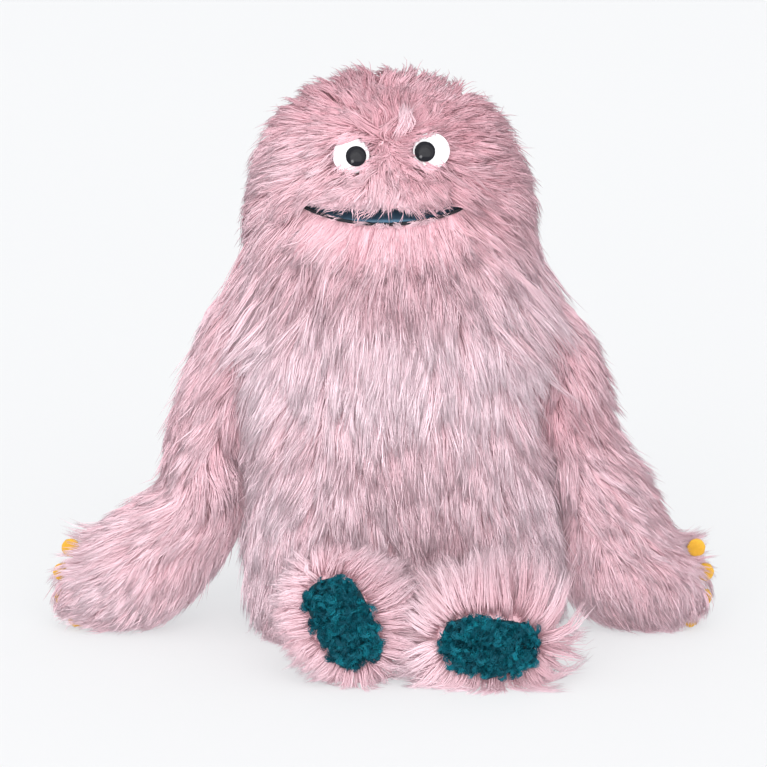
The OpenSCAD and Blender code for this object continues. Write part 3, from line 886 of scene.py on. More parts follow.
def arm_flow(arm):
    """Down the arm, a little outwards, and spread like a fan over the paw."""
    def flow(p, n):
        at, t, nn, off = arm.along(p)
        out = (0.3 + 0.3 * smooth(0.5, 0.85, at)) * off
        d = level(t + nn * out[:, None])
        d[:, 0] += arm.out_sign * 0.9 * smooth(0.12, 0.0, at)
        d = mix(unit(d), level(unit(p[:, [0, 2]] - arm.fan)), 0.85 * smooth(0.62, 0.8, at))
        d[:, 2] -= 0.15 * smooth(0.45, 0.75, at)
        low_on_paw = smooth(0.05, 0.015, p[:, 2]) * smooth(0.6, 0.75, at)
        d[:, 1] -= 0.7 * low_on_paw * smooth(0.008, -0.008, p[:, 1])
        return stir(unit(d), n, p, (0.07, 7, 10), (0.028, 8, 6))
    return flow


def foot_flow(foot):
    """From the sole back to the hip, and a little down."""
    axis = unit((foot.hip - foot.end)[None, :])[0]

    def flow(p, n):
        d = np.broadcast_to(axis, p.shape) + np.array([0, 0, -0.12])
        return stir(d, n, p, (0.04, 9, 16), (0.018, 10, 9))
    return flow


def project(p):
    """Points moved level onto the bell's surface."""
    q = p.copy()
    for _ in range(3):
        n = normal(bell, q) * np.array([1, 1, 0])
        flat = np.linalg.norm(n, axis=1)
        q = q - unit(n) * (bell.sd(q) * np.clip(flat, 0.3, 1))[:, None]
    return q


# ---------------------------------------------------------------- things that fur keeps clear of

N_RING = 96
EYE_R = 12 * MM
EYE_PITCH = math.radians(18)
EYE_AXIS = np.array([0, -math.cos(EYE_PITCH), math.sin(EYE_PITCH)])
EYE_UP = np.array([0, math.sin(EYE_PITCH), math.cos(EYE_PITCH)])
EYE_SHIFT = {"left": 1 * MM, "right": 2 * MM}
EYE_DOME = 4.5 * MM
OVER_RIM, BESIDE_RIM = 2.3 * MM, 6 * MM
OPENING = (high("back_opening_binding") - low("back_opening_binding")) / 2
OPENING_Z = middle("back_opening_binding")[2]
NAIL_R = 6.25 * MM


def eye_centre(side):
    """Middle of the disc's back, from the top and the front of the CAD eye."""
    lo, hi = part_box(side + "_eye")
    z = hi[2] - EYE_R * math.cos(EYE_PITCH)
    return np.array([(lo[0] + hi[0]) / 2 + EYE_SHIFT[side], lo[1] + EYE_DOME * math.cos(EYE_PITCH), z])


EYE_C = {s: eye_centre(s) for s in ("left", "right")}


def nail_centres(side):
    """Four nails round the paw's outer edge, from the top one down."""
    lo, hi = low(side + "_nails") + NAIL_R, high(side + "_nails") - NAIL_R
    outer, inner = (hi[0], lo[0]) if side == "right" else (lo[0], hi[0])
    y = (lo[1] + hi[1]) / 2
    return [np.array([inner + (outer - inner) * sx, y, lo[2] + (hi[2] - lo[2]) * sz])
            for sx, sz in ((0.36, 1.0), (1.0, 0.66), (0.9, 0.3), (0.0, 0.0))]


NAILS = {s: nail_centres(s) for s in ("left", "right")}


def lip_line(x):
    """Height of the lower lip's edge: a smile, lowest in the middle."""
    return HINGE[2] - 1 * MM - 11 * MM * np.clip(1 - (x / MOUTH_HALF_W) ** 2, 0, 1) ** 0.9


def upper_line(x):
    return HINGE[2] + 0.3 * MM + 0.9 * MM * np.clip(1 - (x / MOUTH_HALF_W) ** 2, 0, 1)


def eye_bar(points):
    """In front of an eye, but for a ragged millimetre or two over its rim, most of it above and below."""
    hit = np.zeros(points.shape[:2], bool)
    ragged = RNG.exponential(1.5 * MM, len(points))[:, None]
    for c in EYE_C.values():
        q = points - c
        h = q @ EYE_AXIS
        r = np.linalg.norm(q - h[..., None] * EYE_AXIS, axis=-1)
        over = 0.3 + 1.2 * np.abs(q @ EYE_UP) / np.maximum(r, MM)
        hit |= (r < EYE_R - 0.5 * MM - np.minimum(ragged * over, 4 * MM)) & (h > -1.5 * MM)
    return hit


def over_eyes(path):
    """Lifts hair that comes near an eye, so that it lies over the rim."""
    path = path.copy()
    for c in EYE_C.values():
        q = path[:, 1:] - c
        h = q @ EYE_AXIS
        r = np.linalg.norm(q - h[..., None] * EYE_AXIS, axis=-1)
        want = OVER_RIM * smooth(EYE_R + BESIDE_RIM, EYE_R, r)
        rise = np.where((h > -9 * MM) & (r < EYE_R + BESIDE_RIM), np.maximum(want - h, 0), 0)
        path[:, 1:] += rise[..., None] * EYE_AXIS * np.minimum(1, 2 * want / OVER_RIM)[..., None]
    return path


def mouth_bar(points):
    """In the open mouth. Hair from above hangs over it by a ragged amount."""
    z, x = points[..., 2], points[..., 0]
    half = MOUTH_HALF_W - 2 * MM
    droop = RNG.exponential(1.5 * MM, len(points)) + (RNG.uniform(0, 1, len(points)) < 0.09) * 13 * MM
    above = points[:, :1, 2] > HINGE[2] - 2 * MM
    front = (points[..., 1] < -0.03) & (np.abs(x) < half)
    room = droop[:, None] * smooth(half, half * 0.6, np.abs(x))
    from_above = above & front & (z < HINGE[2] - 0.8 * MM - room)
    crest = RNG.normal(0.2 * MM, 0.8 * MM, len(points))[:, None]
    from_below = ~above & front & (z > lip_line(x) + np.minimum(crest, 1.4 * MM))
    return from_above | from_below


def tips_bar(points):
    """More than a ragged two millimetres above the lower lip's edge."""
    crest = RNG.exponential(1.0 * MM, len(points))[:, None]
    return points[..., 2] > lip_line(points[..., 0]) + np.minimum(crest, 2 * MM)


def in_opening(p, grow=0.0):
    """Whether points are within the back opening's outline."""
    dx, dz = p[..., 0] / (OPENING[0] + grow), (p[..., 2] - OPENING_Z) / (OPENING[2] + grow)
    return (p[..., 1] > 0) & (np.abs(dx) ** 5 + np.abs(dz) ** 5 < 1)


def back_bar(points):
    """Over the back opening, apart from a ragged fringe that hangs from its top edge."""
    droop = 3 * MM + RNG.exponential(6 * MM, len(points))[:, None]
    return in_opening(points, -1 * MM) & (points[..., 2] < OPENING_Z + OPENING[2] - droop)


def nail_bar(side, inset, ragged):
    """In front of the top nail, which shows between the hairs."""
    c = NAILS[side][0]

    def bar(points):
        edge = RNG.exponential(ragged, len(points))[:, None]
        q = points - c
        r = np.hypot(q[..., 0], q[..., 2] + 0.21 * q[..., 1])
        return (r < NAIL_R - inset - edge) & (q[..., 1] < 2 * MM)
    return bar


# ---------------------------------------------------------------- grow

DENSE = 1.0
fur = Fur()
bell_v, bell_f = tube([bell.ring(z, N_RING) for z in bell.z])
arm_mesh = {s: tube(arms[s].rings()) for s in arms}
foot_mesh = {s: tube(feet[s].rings()) for s in feet}


def bell_length(p):
    """Pile length over torso and head."""
    z, x = p[:, 2], np.abs(p[:, 0])
    front = on_front(p)
    base = mix(62.0, 44.0, smooth(0.27, 0.34, z))
    base = mix(base, 24.0, smooth(0.062, 0.02, off_whorl(p)) * front)
    above = smooth(HINGE[2] + 20 * MM, HINGE[2] + 2 * MM, z) * smooth(HINGE[2] - 4 * MM, HINGE[2], z)
    return mix(base, 20.0, front * above * smooth(0.066, 0.045, x)) * MM


def bell_roots(count, keep):
    """Roots over torso and head, kept by the chance that keep gives, clear of the mouth and the opening."""
    roots, _ = sample(bell_v, bell_f, int(count * DENSE), RNG)
    roots = roots - normal(bell, roots) * bell.sd(roots)[:, None]
    roots = roots[RNG.uniform(0, 1, len(roots)) < keep(roots)]
    x, z = roots[:, 0], roots[:, 2]
    mouth = (np.abs(x) < MOUTH_HALF_W - 2 * MM) & (roots[:, 1] < -0.03)
    mouth &= (z < HINGE[2] + 1 * MM) & (z > lip_line(x) - 1.2 * MM)
    return roots[(z > 6 * MM) & ~mouth & ~in_opening(roots, 1 * MM)]


def all_over(p):
    """The chance that a root is kept: more on the front, and most on the face."""
    front = on_front(p)
    return 0.55 + 0.3 * front + 0.35 * smooth(0.27, 0.3, p[:, 2]) * front


# Tone by height. The dip at 0.172 is painted shade in the fold across the chest, and the rises at 0.135 and 0.2
# on either side are painted highlights.
TONE_Z = [0.02, 0.1, 0.135, 0.172, 0.2, 0.25, 0.27, 0.285, 0.3, 0.325, 0.345, 0.36]
TONE = [0.02, 0.1, 0.28, 0.0, 0.26, 0.1, -0.02, -0.04, -0.14, -0.24, -0.46, -0.56]


def bell_tone(p):
    """Shade of the pile, from deep rose over the brow to pale on the chest, with a band of painted shade at the
    chest's fold between painted highlights, and paler round to the sides.
    """
    return np.interp(p[:, 2], TONE_Z, TONE) + 0.12 * smooth(0.04, 0.085, np.abs(p[:, 0]))


def near_whorl(p):
    return smooth(0.055, 0.02, off_whorl(p)) * (p[:, 1] < 0)


def shoulders(p):
    z, x = p[:, 2], np.abs(p[:, 0])
    return smooth(0.2, 0.225, z) * smooth(0.285, 0.262, z) * smooth(0.05, 0.075, x)


BARS = (eye_bar, mouth_bar, back_bar)


def grow_coat():
    """The main coat over torso and head: fluffy on the crown, flat and in bands lower down."""
    roots = bell_roots(8600, all_over)
    z, x = roots[:, 2], np.abs(roots[:, 0])
    side_of = smooth(0.045, 0.085, x)
    shoulder = side_of * smooth(0.19, 0.23, z) * smooth(0.295, 0.262, z)
    right = smooth(0.0, 0.09, roots[:, 0])
    face = smooth(0.06, 0.02, off_whorl(roots)) * on_front(roots)
    top = smooth(0.325, 0.365, z)
    lift0 = mix(34.0, 48.0, smooth(0.32, 0.36, z)) + 10 * shoulder
    lift1 = mix(5.0, 10.0, top) + (20 + 2 * right) * shoulder
    lift1 = lift1 + 5 * right * (1 - top) + 9 * right * smooth(0.12, 0.05, z) * side_of
    lift0, lift1 = mix(lift0, 30.0, face), mix(lift1, 3.0, face)
    fluffy = smooth(0.3, 0.35, z)
    fur.add(bell, roots, head_flow, bell_length(roots), lift0, lift1, "bell", gather=mix(0.74, 0.58, fluffy),
            turn=mix(3.5, 5.0, fluffy), band=mix(0.58, 0.34, fluffy), stray=mix(0.12, 0.28, fluffy),
            wave=mix(1.5, 0.9, fluffy) * MM, tone=bell_tone(roots), barred=BARS, press=over_eyes)


def grow_whorl_and_shoulders():
    """More short hair round the whorl, and long hair that falls over the shoulders."""
    roots = bell_roots(6000, near_whorl)
    fur.add(bell, roots, head_flow, 20 * MM, 26.0, 2.0, "bell", per=9, wave=1.1 * MM, tone=bell_tone(roots),
            barred=BARS, press=over_eyes)
    roots = bell_roots(2400, shoulders)
    lift1 = 26 + 10 * smooth(0.0, 0.09, roots[:, 0])
    # The long shoulder hair is 0.12 deeper in tone: painted shade that takes down the highlights where the light
    # falls full on it.
    fur.add(bell, roots, head_flow, 72 * MM, 48.0, lift1, "bell", tone=bell_tone(roots) - 0.12,
            barred=BARS, press=over_eyes)


def lip_roots(count, width, height):
    """Roots along a lip, at a height given for each x."""
    x = RNG.uniform(-1, 1, int(count * DENSE)) * width
    return project(np.stack([x, np.full(len(x), LIP_FRONT), height(x)], 1))


def up_flow(p, n):
    return np.broadcast_to([0.0, 0.0, 1.0], p.shape)


def grow_lips():
    """A row under the lower lip, short hair along the upper lip, and tips that stand over the lower one."""
    roots = lip_roots(460, MOUTH_HALF_W - 3 * MM,
                      lambda x: lip_line(x) - 1.4 * MM - RNG.exponential(3.5 * MM, len(x)))
    fur.add(bell, roots, head_flow, RNG.uniform(18, 54, len(roots)) * MM, 40.0, 4.0, "bell", per=12,
            spread=2.0 * MM, turn=9.0, gather=0.86, band=0.6, stray=0.12, wave=1.5 * MM,
            tone=-0.15 + RNG.normal(0, 0.14, len(roots)), barred=BARS)
    roots = lip_roots(150, 0.8 * MOUTH_HALF_W, lambda x: upper_line(x) + RNG.uniform(1.5, 5, len(x)) * MM)
    fur.add(bell, roots, head_flow, RNG.uniform(7, 13, len(roots)) * MM, 34.0, 14.0, "bell", per=10,
            spread=1.6 * MM, turn=12.0, tone=bell_tone(roots), barred=BARS)
    roots = lip_roots(44, 0.9 * MOUTH_HALF_W, lambda x: lip_line(x) - 2.6 * MM)
    fur.add(bell, roots, up_flow, RNG.uniform(4, 8, len(roots)) * MM, 40.0, 26.0, "bell", per=7,
            spread=2.0 * MM, turn=34.0, wave=0.3 * MM, stray=0.4, tone=-0.05, barred=(tips_bar,))


def tuft_flow(p, n):
    return np.stack([0.25 - 18 * (p[:, 0] - WHORL[0] - 6 * MM), 0 * p[:, 0], np.ones(len(p))], 1)


def grow_tuft():
    """A pale tuft that stands up from the whorl."""
    at = np.linspace(-1, 1, 6)
    roots = WHORL + np.stack([4 * MM + 3 * MM * at, 0 * at, 2 * MM - 2 * MM * at**2], 1)
    fur.add(bell, roots, tuft_flow, 27 * MM, 42.0, 18.0, "bell", per=13, wave=2.2 * MM, tone=0.05, band=0.7,
            gather=0.86, stray=0.3, barred=BARS, press=over_eyes)


def grow_arm(side):
    """An arm's coat, a fringe on the paw that hides the nails, and locks over the two outer nails."""
    arm, kind = arms[side], side + "_arm"
    flow = arm_flow(arm)
    bars = (nail_bar(side, 0.0, 0.4 * MM) if side == "right" else nail_bar(side, 3.4 * MM, 4 * MM),)
    roots, _ = sample(*arm_mesh[side], int(1250 * DENSE), RNG)
    at, _, _, off = arm.along(roots)
    keep = at > 0.014
    roots, at, off = roots[keep], at[keep], off[keep]
    far = 11.0 * smooth(0.2, 1.0, off) * (arm.out_sign > 0) * smooth(0.02, 0.1, at)
    far = far + 22 * smooth(0.2, 0.8, off) * smooth(0.66, 0.76, at) * smooth(0.97, 0.9, at)
    fur.add(arm, roots, flow, mix(48.0, 42.0, at) * MM, mix(22.0, 34.0, smooth(0.03, 0.2, at)),
            4.0 + far + 10 * smooth(0.66, 0.85, at), kind, tone=-0.1, barred=bars)
    roots, _ = sample(*arm_mesh[side], int(2600 * DENSE), RNG)
    at, _, _, off = arm.along(roots)
    keep = (at > 0.76) & (at < 0.985) & (roots[:, 1] < 2 * MM)
    roots, off = roots[keep], off[keep]
    fur.add(arm, roots, flow, 40 * MM, 30.0, 12.0 + (5 * arm.out_sign + 1) * smooth(0.2, 0.9, off), kind, per=13,
            tone=-0.05, barred=bars)
    roots = np.array([c + [-arm.out_sign * (16 + 5 * (i % 3)) * MM, -16 * MM, (i - 3) * 2.5 * MM]
                      for c in NAILS[side][1:3] for i in range(7)])
    fur.add(arm, roots, flow, (31 + 4 * arm.out_sign) * MM, 24.0, 14.0, kind, per=15, tone=-0.05, barred=bars)


def grow_foot(side):
    """A foot's coat, which stands out round the sole like a halo, most on the outer side."""
    foot = feet[side]
    roots, _ = sample(*foot_mesh[side], int(760 * DENSE), RNG)
    s = foot.local(roots)[2]
    keep = (s > 0.15) & (s < 0.985)
    roots, s = roots[keep], s[keep]
    outward = smooth(-0.5, 1.0, (roots[:, 0] - foot.end[0]) / foot.sole_l)
    reach = mix(0.6, 1.04, outward) if side == "left" else mix(0.95, 1.4, outward)
    fur.add(foot, roots, foot_flow(foot), reach * mix(38.0, 41.0, s) * MM, mix(45.0, 84.0, s),
            mix(16.0, 54.0, s), side + "_foot", per=14, width=0.3 * MM, gather=0.66, band=0.34, tone=-0.02)


grow_coat()
grow_whorl_and_shoulders()
grow_lips()
grow_tuft()
for side in arms:
    grow_arm(side)
for side in feet:
    grow_foot(side)
fur.close()

# ---------------------------------------------------------------- fur in pieces

R, K = fur.root, fur.kind
is_bell = K == "bell"

# the heights between which each joint of the wrist bends the body: turn, tilt and nod
TURN, TILT, NOD = (0.18, 0.212), (0.212, 0.238), (0.238, 0.27)
BENDS = {"collar": ("torso", "neck", *TURN), "neck": ("neck", "throat", *TILT),
         "throat": ("throat", "head_base", *NOD)}
CHIN_BEND = (0.264, 0.29)
NAPE = NOD[1] - 4 * MM
FACE_Y = -12 * MM
# half widths of the slices of the fur in front, from the middle out towards the cheeks
SLICES = np.array([22, 30, 36, 41, 46, 51, 56, 60]) * MM
CROWN_BLEND = blends("head_base", "head", 0.303, 0.345)

fur.piece("torso_pile", is_bell & (R[:, 2] < TURN[0]), rides("torso"))
for name, top in (("collar", TURN[1]), ("neck", TILT[1]), ("throat", NAPE)):
    fur.piece(name + "_pile", is_bell & (R[:, 2] < top), blends(*BENDS[name]))


def slices(name, mask, body, starts, ends, power):
    """Fur in slices from the middle out. starts and ends are the blend's heights in the outer slices."""
    for i, edge in enumerate(SLICES):
        share = ((edge - SLICES[0]) / (SLICES[-1] - SLICES[0])) ** power
        attach = blends("head_base", body, mix(*starts, share), mix(*ends, share))
        fur.piece(f"{name}_{i + 1}", mask & (np.abs(R[:, 0]) < edge), attach)


front = is_bell & (R[:, 1] < FACE_Y)
slices("chin_pile", front & (R[:, 2] < HINGE[2] - 4 * MM), "jaw", (0.264, 0.268), (0.288, 0.335), 1.6)
fur.piece("cheek_pile", is_bell & (R[:, 2] < HINGE[2]), rides("head_base"))
slices("muzzle_pile", front, "head", (0.258, 0.302), (0.278, 0.342), 1)
fur.piece("crown_pile", is_bell, CROWN_BLEND)

ELBOW_REACH = 18 * MM
elbow_of = {s: np.array(JOINT[s + "_elbow_bend"]["pos_m"]) for s in arms}
# the way down the arm at the elbow
elbow_way = {s: np.array([arms[s].out_sign * 0.322, 0, -0.947]) for s in arms}
across_elbow = {}
for s in arms:
    reach = elbow_way[s] * ELBOW_REACH
    across_elbow[s] = blends(s + "_upper_arm", s + "_forearm",
                             tuple(elbow_of[s] - reach), tuple(elbow_of[s] + reach))
for side in arms:
    mine = K == side + "_arm"
    d = (R - elbow_of[side]) @ elbow_way[side]
    fur.piece(side + "_upper_arm_pile", mine & (d < -ELBOW_REACH), rides(side + "_upper_arm"))
    fur.piece(side + "_elbow_pile", mine & (d < ELBOW_REACH), across_elbow[side])
    fur.piece(side + "_forearm_pile", mine, rides(side + "_forearm"))
for side in feet:
    fur.piece(side + "_foot_pile", K == side + "_foot", rides(side + "_foot"))

# ---------------------------------------------------------------- skins under the fur

SKIN_T = 1.2 * MM


def developed(rings, v, f, columns):
    """Width and length of the cut that makes a band, and its true area."""
    loops = np.array(rings)
    columns = slice(None) if columns is None else columns
    steps = np.linalg.norm(loops - np.roll(loops, -1, axis=1), axis=2)[:, columns]
    rises = np.linalg.norm(np.diff(loops, axis=0), axis=2).sum(0)[columns]
    area = 0.0
    for q in f:
        p = v[list(q)]
        crosses = (np.cross(p[i] - p[0], p[i + 1] - p[0]) for i in range(1, len(q) - 1))
        area += np.linalg.norm(sum(crosses)) / 2
    return steps.sum(1).max(), rises.max(), area


def band(name, z0, z1, attach, rests_on, node=None, rows=8, columns=None, hole=False, cap=False):
    """A stretch of the bell's skin. z0 and z1 may differ from column to column."""
    z0, z1 = np.broadcast_to(z0, (N_RING,)), np.broadcast_to(z1, (N_RING,))
    rings = [bell.ring(z0 + (z1 - z0) * s, N_RING) for s in np.linspace(0, 1, rows)]
    if columns is not None:
        rings = [project(r) for r in rings]
    v, f = tube(rings, False, cap)
    if columns is not None:
        f = [q for q in f if len(q) > 4 or (columns[q[0] % N_RING] and columns[q[1] % N_RING])]
    if hole:
        f = [q for q in f if not in_opening(v[list(q)].mean(0)[None, :])[0]]
    width, length, area = developed(rings, v, f, columns)
    o = solid(name, v, f, BACKING, SKIN_T)
    hand_over(o, attach, "pink_fur", node)


rim = bell.ring(HINGE[2], N_RING)
in_front = rim[:, 1] < FACE_Y
at_mouth = in_front & (np.abs(rim[:, 0]) < MOUTH_HALF_W)
lower_rim = np.where(at_mouth, lip_line(rim[:, 0]), HINGE[2])
upper_rim = np.where(at_mouth, upper_line(rim[:, 0]), HINGE[2])
chin_columns = in_front & (np.abs(rim[:, 0]) < 62 * MM)
muzzle_columns = in_front & (np.abs(rim[:, 0]) < 48 * MM)


def widened(mask):
    """The columns of the mask and one more on each side, so that neighbouring skins overlap."""
    return mask | np.roll(mask, 1) | np.roll(mask, -1)


band("torso_skin", 2 * MM, TURN[0], rides("torso"), "torso_stuffing", "torso_fur", 48, hole=True)
below = "torso_skin"
for name, node in (("collar", "neck_fur"), ("neck", "throat_fur"), ("throat", None)):
    band(name + "_skin", *BENDS[name][2:], blends(*BENDS[name]), below, node)
    below = name + "_skin"
band("cheek_skin", NOD[1], lower_rim, rides("head_base"), below, "nape_fur", columns=~chin_columns)
band("chin_skin", NOD[1], lower_rim, blends("head_base", "jaw", *CHIN_BEND), "jaw_stuffing", "chin_fur",
     columns=widened(chin_columns))
band("head_skin", upper_rim, bell.z[-1], CROWN_BLEND, "head_stuffing", "head_fur", 30, ~muzzle_columns,
     cap=True)
band("muzzle_skin", upper_rim, bell.z[-2], rides("head"), "head_stuffing", None, 30,
     widened(muzzle_columns))

for side in arms:
    arm_skin = solid(side + "_arm_skin", *arm_mesh[side], BACKING)
    hand_over(arm_skin, across_elbow[side], "pink_fur", side + "_upper_arm_fur", side + "_forearm_fur")
    foot_skin = solid(side + "_foot_skin", *foot_mesh[side], BACKING)
    hand_over(foot_skin, rides(side + "_foot"), "pink_fur", side + "_foot_fur")


def seat():
    """The flat panel under the torso, with a slightly puckered edge."""
    hw, hd, h = high("seat_panel")
    thick = 2.6
    a = full_turn(N_RING)
    x, y = squarish(a, SQUARE)
    rings = []
    for share, z in ((0.2, 0.4), (0.6, 0.3), (0.93, 0.3), (0.99, 0.9), (1.0, 1.6), (0.97, 2.4),
                     (0.6, thick), (0.2, thick)):
        wave = 1 + 0.008 * np.sin(24 * a) * (share > 0.9)
        level_z = np.full(N_RING, z / thick * h)
        rings.append(np.stack([x * hw * share * wave, y * hd * share * wave, level_z], 1))
    o = solid("seat_cloth", *tube(rings), BACKING)
    hand_over(o, rides("torso"), "pink_fur", "seat_panel")


seat()


def gusset(node, axis, body):
    """A short bulging tube of cloth that joins a limb to the body."""
    lo, hi = low(node), high(node)
    half = ((hi - lo) / 2) @ np.abs(axis)
    r = max(hi - lo) / 2
    profile = [(0, half), (r * 0.8, half), (r * 0.94, half * 0.6), (r, 0), (r * 0.94, -half * 0.6),
               (r * 0.8, -half), (0, -half)]
    o = solid(node + "_cloth", *lathe(profile, (lo + hi) / 2, axis, 32), BACKING)
    hand_over(o, rides(body), "pink_fur", node)


for side in arms:
    gusset(side + "_shoulder_gusset", np.array([1.0, 0, 0]), side + "_shoulder")
    gusset(side + "_hip_gusset", np.array([0, 1.0, 0]), side + "_hip")

# ---------------------------------------------------------------- sleeve for the arm, and the bound opening

SLEEVE_Y = middle("neck_lining")[1]
SLEEVE_D = (high("neck_lining")[1] - low("neck_lining")[1]) / 2
SLEEVE_W = high("arm_sleeve")[0]


def sleeve_ring(centre, way, half_w, half_d, seed=0, n=64):
    """A squarish ring of lining across the way, with soft creases."""
    a = full_turn(n)
    x, y = squarish(a, 3)
    way = unit(np.array(way, float))
    other = np.cross([1.0, 0, 0], way)
    crease = 1 - 0.02 * (1 + np.sin(7 * a + 2.1 * seed) * np.sin(3 * a + seed))
    x = x * half_w * crease
    y = y * half_d * crease
    return np.array(centre) + np.outer(x, [1.0, 0, 0]) + np.outer(y, other)


def lining(name, rings, attach, node):
    """A tube of lining."""
    o = solid(name, *tube(rings, False, False), LINING, 0.8 * MM)
    hand_over(o, attach, "lining", node)


# y and z of the sleeve's middle, from the opening in the back up to the wrist
way_in = [(high("arm_sleeve")[1], OPENING_Z), (42 * MM, OPENING_Z), (30 * MM, OPENING_Z + 4 * MM),
          (21 * MM, OPENING_Z + 14 * MM), (SLEEVE_Y + 1 * MM, OPENING_Z + 28 * MM),
          (SLEEVE_Y, OPENING_Z + 45 * MM), (SLEEVE_Y, 0.155), (SLEEVE_Y, TURN[0])]
way_in = np.array([[0, y, z] for y, z in spline(way_in, 28)])
ways = unit(np.gradient(way_in, axis=0))
bend = smooth(0.0, 0.5, np.linspace(0, 1, len(way_in)))
rings = [sleeve_ring(way_in[i], ways[i], mix(OPENING[0] - 5 * MM, SLEEVE_W - 2 * MM, bend[i]),
                     mix(OPENING[2] - 5 * MM, SLEEVE_D - 2 * MM, bend[i]), 0.3 * i) for i in range(len(way_in))]
lining("sleeve_cloth", rings, rides("torso"), "arm_sleeve")


def straight(z0, z1):
    return [sleeve_ring((0, SLEEVE_Y, z), (0, 0, 1), SLEEVE_W - 2 * MM, SLEEVE_D - 2 * MM, 9 + 40 * z)
            for z in np.linspace(z0, z1, 6)]


below = "sleeve_cloth"
for name, node in (("collar", None), ("neck", "neck_lining"), ("throat", "throat_lining")):
    lining(name + "_lining_cloth", straight(*BENDS[name][2:]), blends(*BENDS[name]), node)
    below = name + "_lining_cloth"
lining("palm_lining_cloth", straight(NOD[1], HINGE[2] - 5 * MM), rides("head_base"), "palm_lining")


def binding():
    """Folded tape round the back opening, sewn to the skin."""
    n, n_ring, width, height = N_RING, 12, 3.2 * MM, 1.7 * MM
    x, z = squarish(np.arange(n + 1) * 2 * math.pi / n, 5)
    x = x * (OPENING[0] - 1.5 * MM)
    z = OPENING_Z + z * (OPENING[2] - 1.5 * MM)
    p = project(np.stack([x, np.full(n + 1, 0.06), z], 1))
    t = unit(np.gradient(p, axis=0))
    out = unit(np.stack([x, 0 * x, z - OPENING_Z], 1))
    across = unit(np.cross(t, out))
    b = full_turn(n_ring)
    rings = []
    for i in range(n):
        puff = 1 + 0.05 * math.sin(i * 1.3)
        ring = p[i] + np.outer(np.cos(b) * width, out[i])
        rings.append(ring + np.outer(np.sin(b) * height * puff, across[i]))
    v, f = tube(rings, False, False)
    last = (n - 1) * n_ring
    f += [(last + j, last + (j + 1) % n_ring, (j + 1) % n_ring, j) for j in range(n_ring)]
    hand_over(solid("opening_tape", v, f, BLACK), rides("torso"), "black_tape", "back_opening_binding")


binding()

# ---------------------------------------------------------------- stuffing

WAD = 1.6 * MM


def wad(name, rings, body, node):
    """Stuffing: a lumpy lump."""
    v, f = tube(rings)
    centre = v.mean(0)
    v = v + unit(v - centre) * (WAD * (bumps(v, 0.024, 31) - 0.9))[:, None]
    o = solid(name, v, f, STUFFING)
    hand_over(o, rides(body), "stuffing", node)


def horseshoe(z, gap, inner, inner_y, grow=-4 * MM, n=40):
    """A ring of stuffing round a hollow, parted at the back by a gap."""
    a = np.interp(z, bell.z, bell.half_w) + grow
    cut = math.asin(min(gap / a, 0.98) ** (SQUARE / 2))
    outer = bell.ring(z, grow=grow, angles=np.linspace(math.pi / 2 + cut, 2.5 * math.pi - cut, n))
    hw, hd = inner
    cut = min(math.asin(min(gap / hw, 1) ** 1.5), math.radians(86))
    t = np.linspace(2.5 * math.pi - cut, math.pi / 2 + cut, n)
    x, y = squarish(t, 3)
    return np.vstack([outer, np.stack([x * hw, inner_y + y * hd, np.full(n, z)], 1)])


hollow = (SLEEVE_W + 3 * MM, SLEEVE_D + 3 * MM)
opening_lo, opening_hi = OPENING_Z - OPENING[2] - 4 * MM, OPENING_Z + OPENING[2] + 4 * MM
wad("torso_stuffing", [
    horseshoe(z, OPENING[0] + 3 * MM if opening_lo < z < opening_hi else 1 * MM,
              hollow if z > opening_lo else (2 * MM, 2 * MM), SLEEVE_Y)
    for z in [0.006, 0.02, 0.035, opening_lo - 1 * MM, opening_lo + 1 * MM, 0.06, 0.08, 0.1, opening_hi - 1 * MM,
              opening_hi + 1 * MM, 0.13, 0.15, 0.165, TURN[0] - 3 * MM]], "torso", "torso_filling")

HEAD_SLOT_TOP = 0.334


def head_wad(z):
    """A slice of the head's stuffing, with room for the fingers up to the top of their slot."""
    open_here = z < HEAD_SLOT_TOP
    gap, inner = (44 * MM, (46 * MM, 44 * MM)) if open_here else (1 * MM, (2 * MM, 2 * MM))
    return horseshoe(z, gap, inner, 4 * MM, -6 * MM)


wad("head_stuffing", [head_wad(z) for z in (0.311, 0.318, 0.326, 0.333, 0.335, 0.345, 0.355, 0.363)], "head",
    "head_filling")


def jaw_wad(share, n=30):
    """A slice of the chin's stuffing, with a space for the thumb."""
    arc = bell.ring(0.29, grow=-4 * MM, angles=np.linspace(math.pi + 0.35, 2 * math.pi - 0.35, n))
    rear, thumb_w, thumb_y, bottom = -11 * MM, 18 * MM, -46 * MM, 0.2815
    inner = [(arc[-1, 0], rear), (thumb_w, rear), (thumb_w, thumb_y), (-thumb_w, thumb_y), (-thumb_w, rear),
             (arc[0, 0], rear)]
    xy = np.vstack([arc[:, :2], inner])
    top = HINGE[2] - 6 * MM + xy[:, 1] * math.tan(math.radians(10))
    return np.column_stack([xy, bottom + (top - bottom) * share])


wad("jaw_stuffing", [jaw_wad(s) for s in (0, 0.5, 1)], "jaw", "jaw_filling")
for side, arm in arms.items():
    rings = arm.rings(grow=-3 * MM)
    past_elbow = [(np.mean(r, axis=0) - elbow_of[side]) @ elbow_way[side] for r in rings]
    upper = [r for r, d in zip(rings, past_elbow) if d < -3 * MM][3:]
    lower = [r for r, d in zip(rings, past_elbow) if d > 3 * MM][:-3]
    for part, own in (("_upper_arm", upper), ("_forearm", lower)):
        wad(side + part + "_stuffing", own, side + part, side + part + "_filling")
    wad(side + "_foot_stuffing", feet[side].rings(grow=-4 * MM)[2:-1], side + "_foot",
        side + "_foot_filling")

# ---------------------------------------------------------------- mouth

# degrees that the lower board hangs open at rest
BOARD_REST = 8.5


def lip_edge(x, z):
    """Places on the front of the skin at x and z."""
    p = np.stack([x, np.full(len(x), LIP_FRONT), z], 1)
    for _ in range(10):
        p[:, 1] += 0.9 * bell.sd(p)
    return p


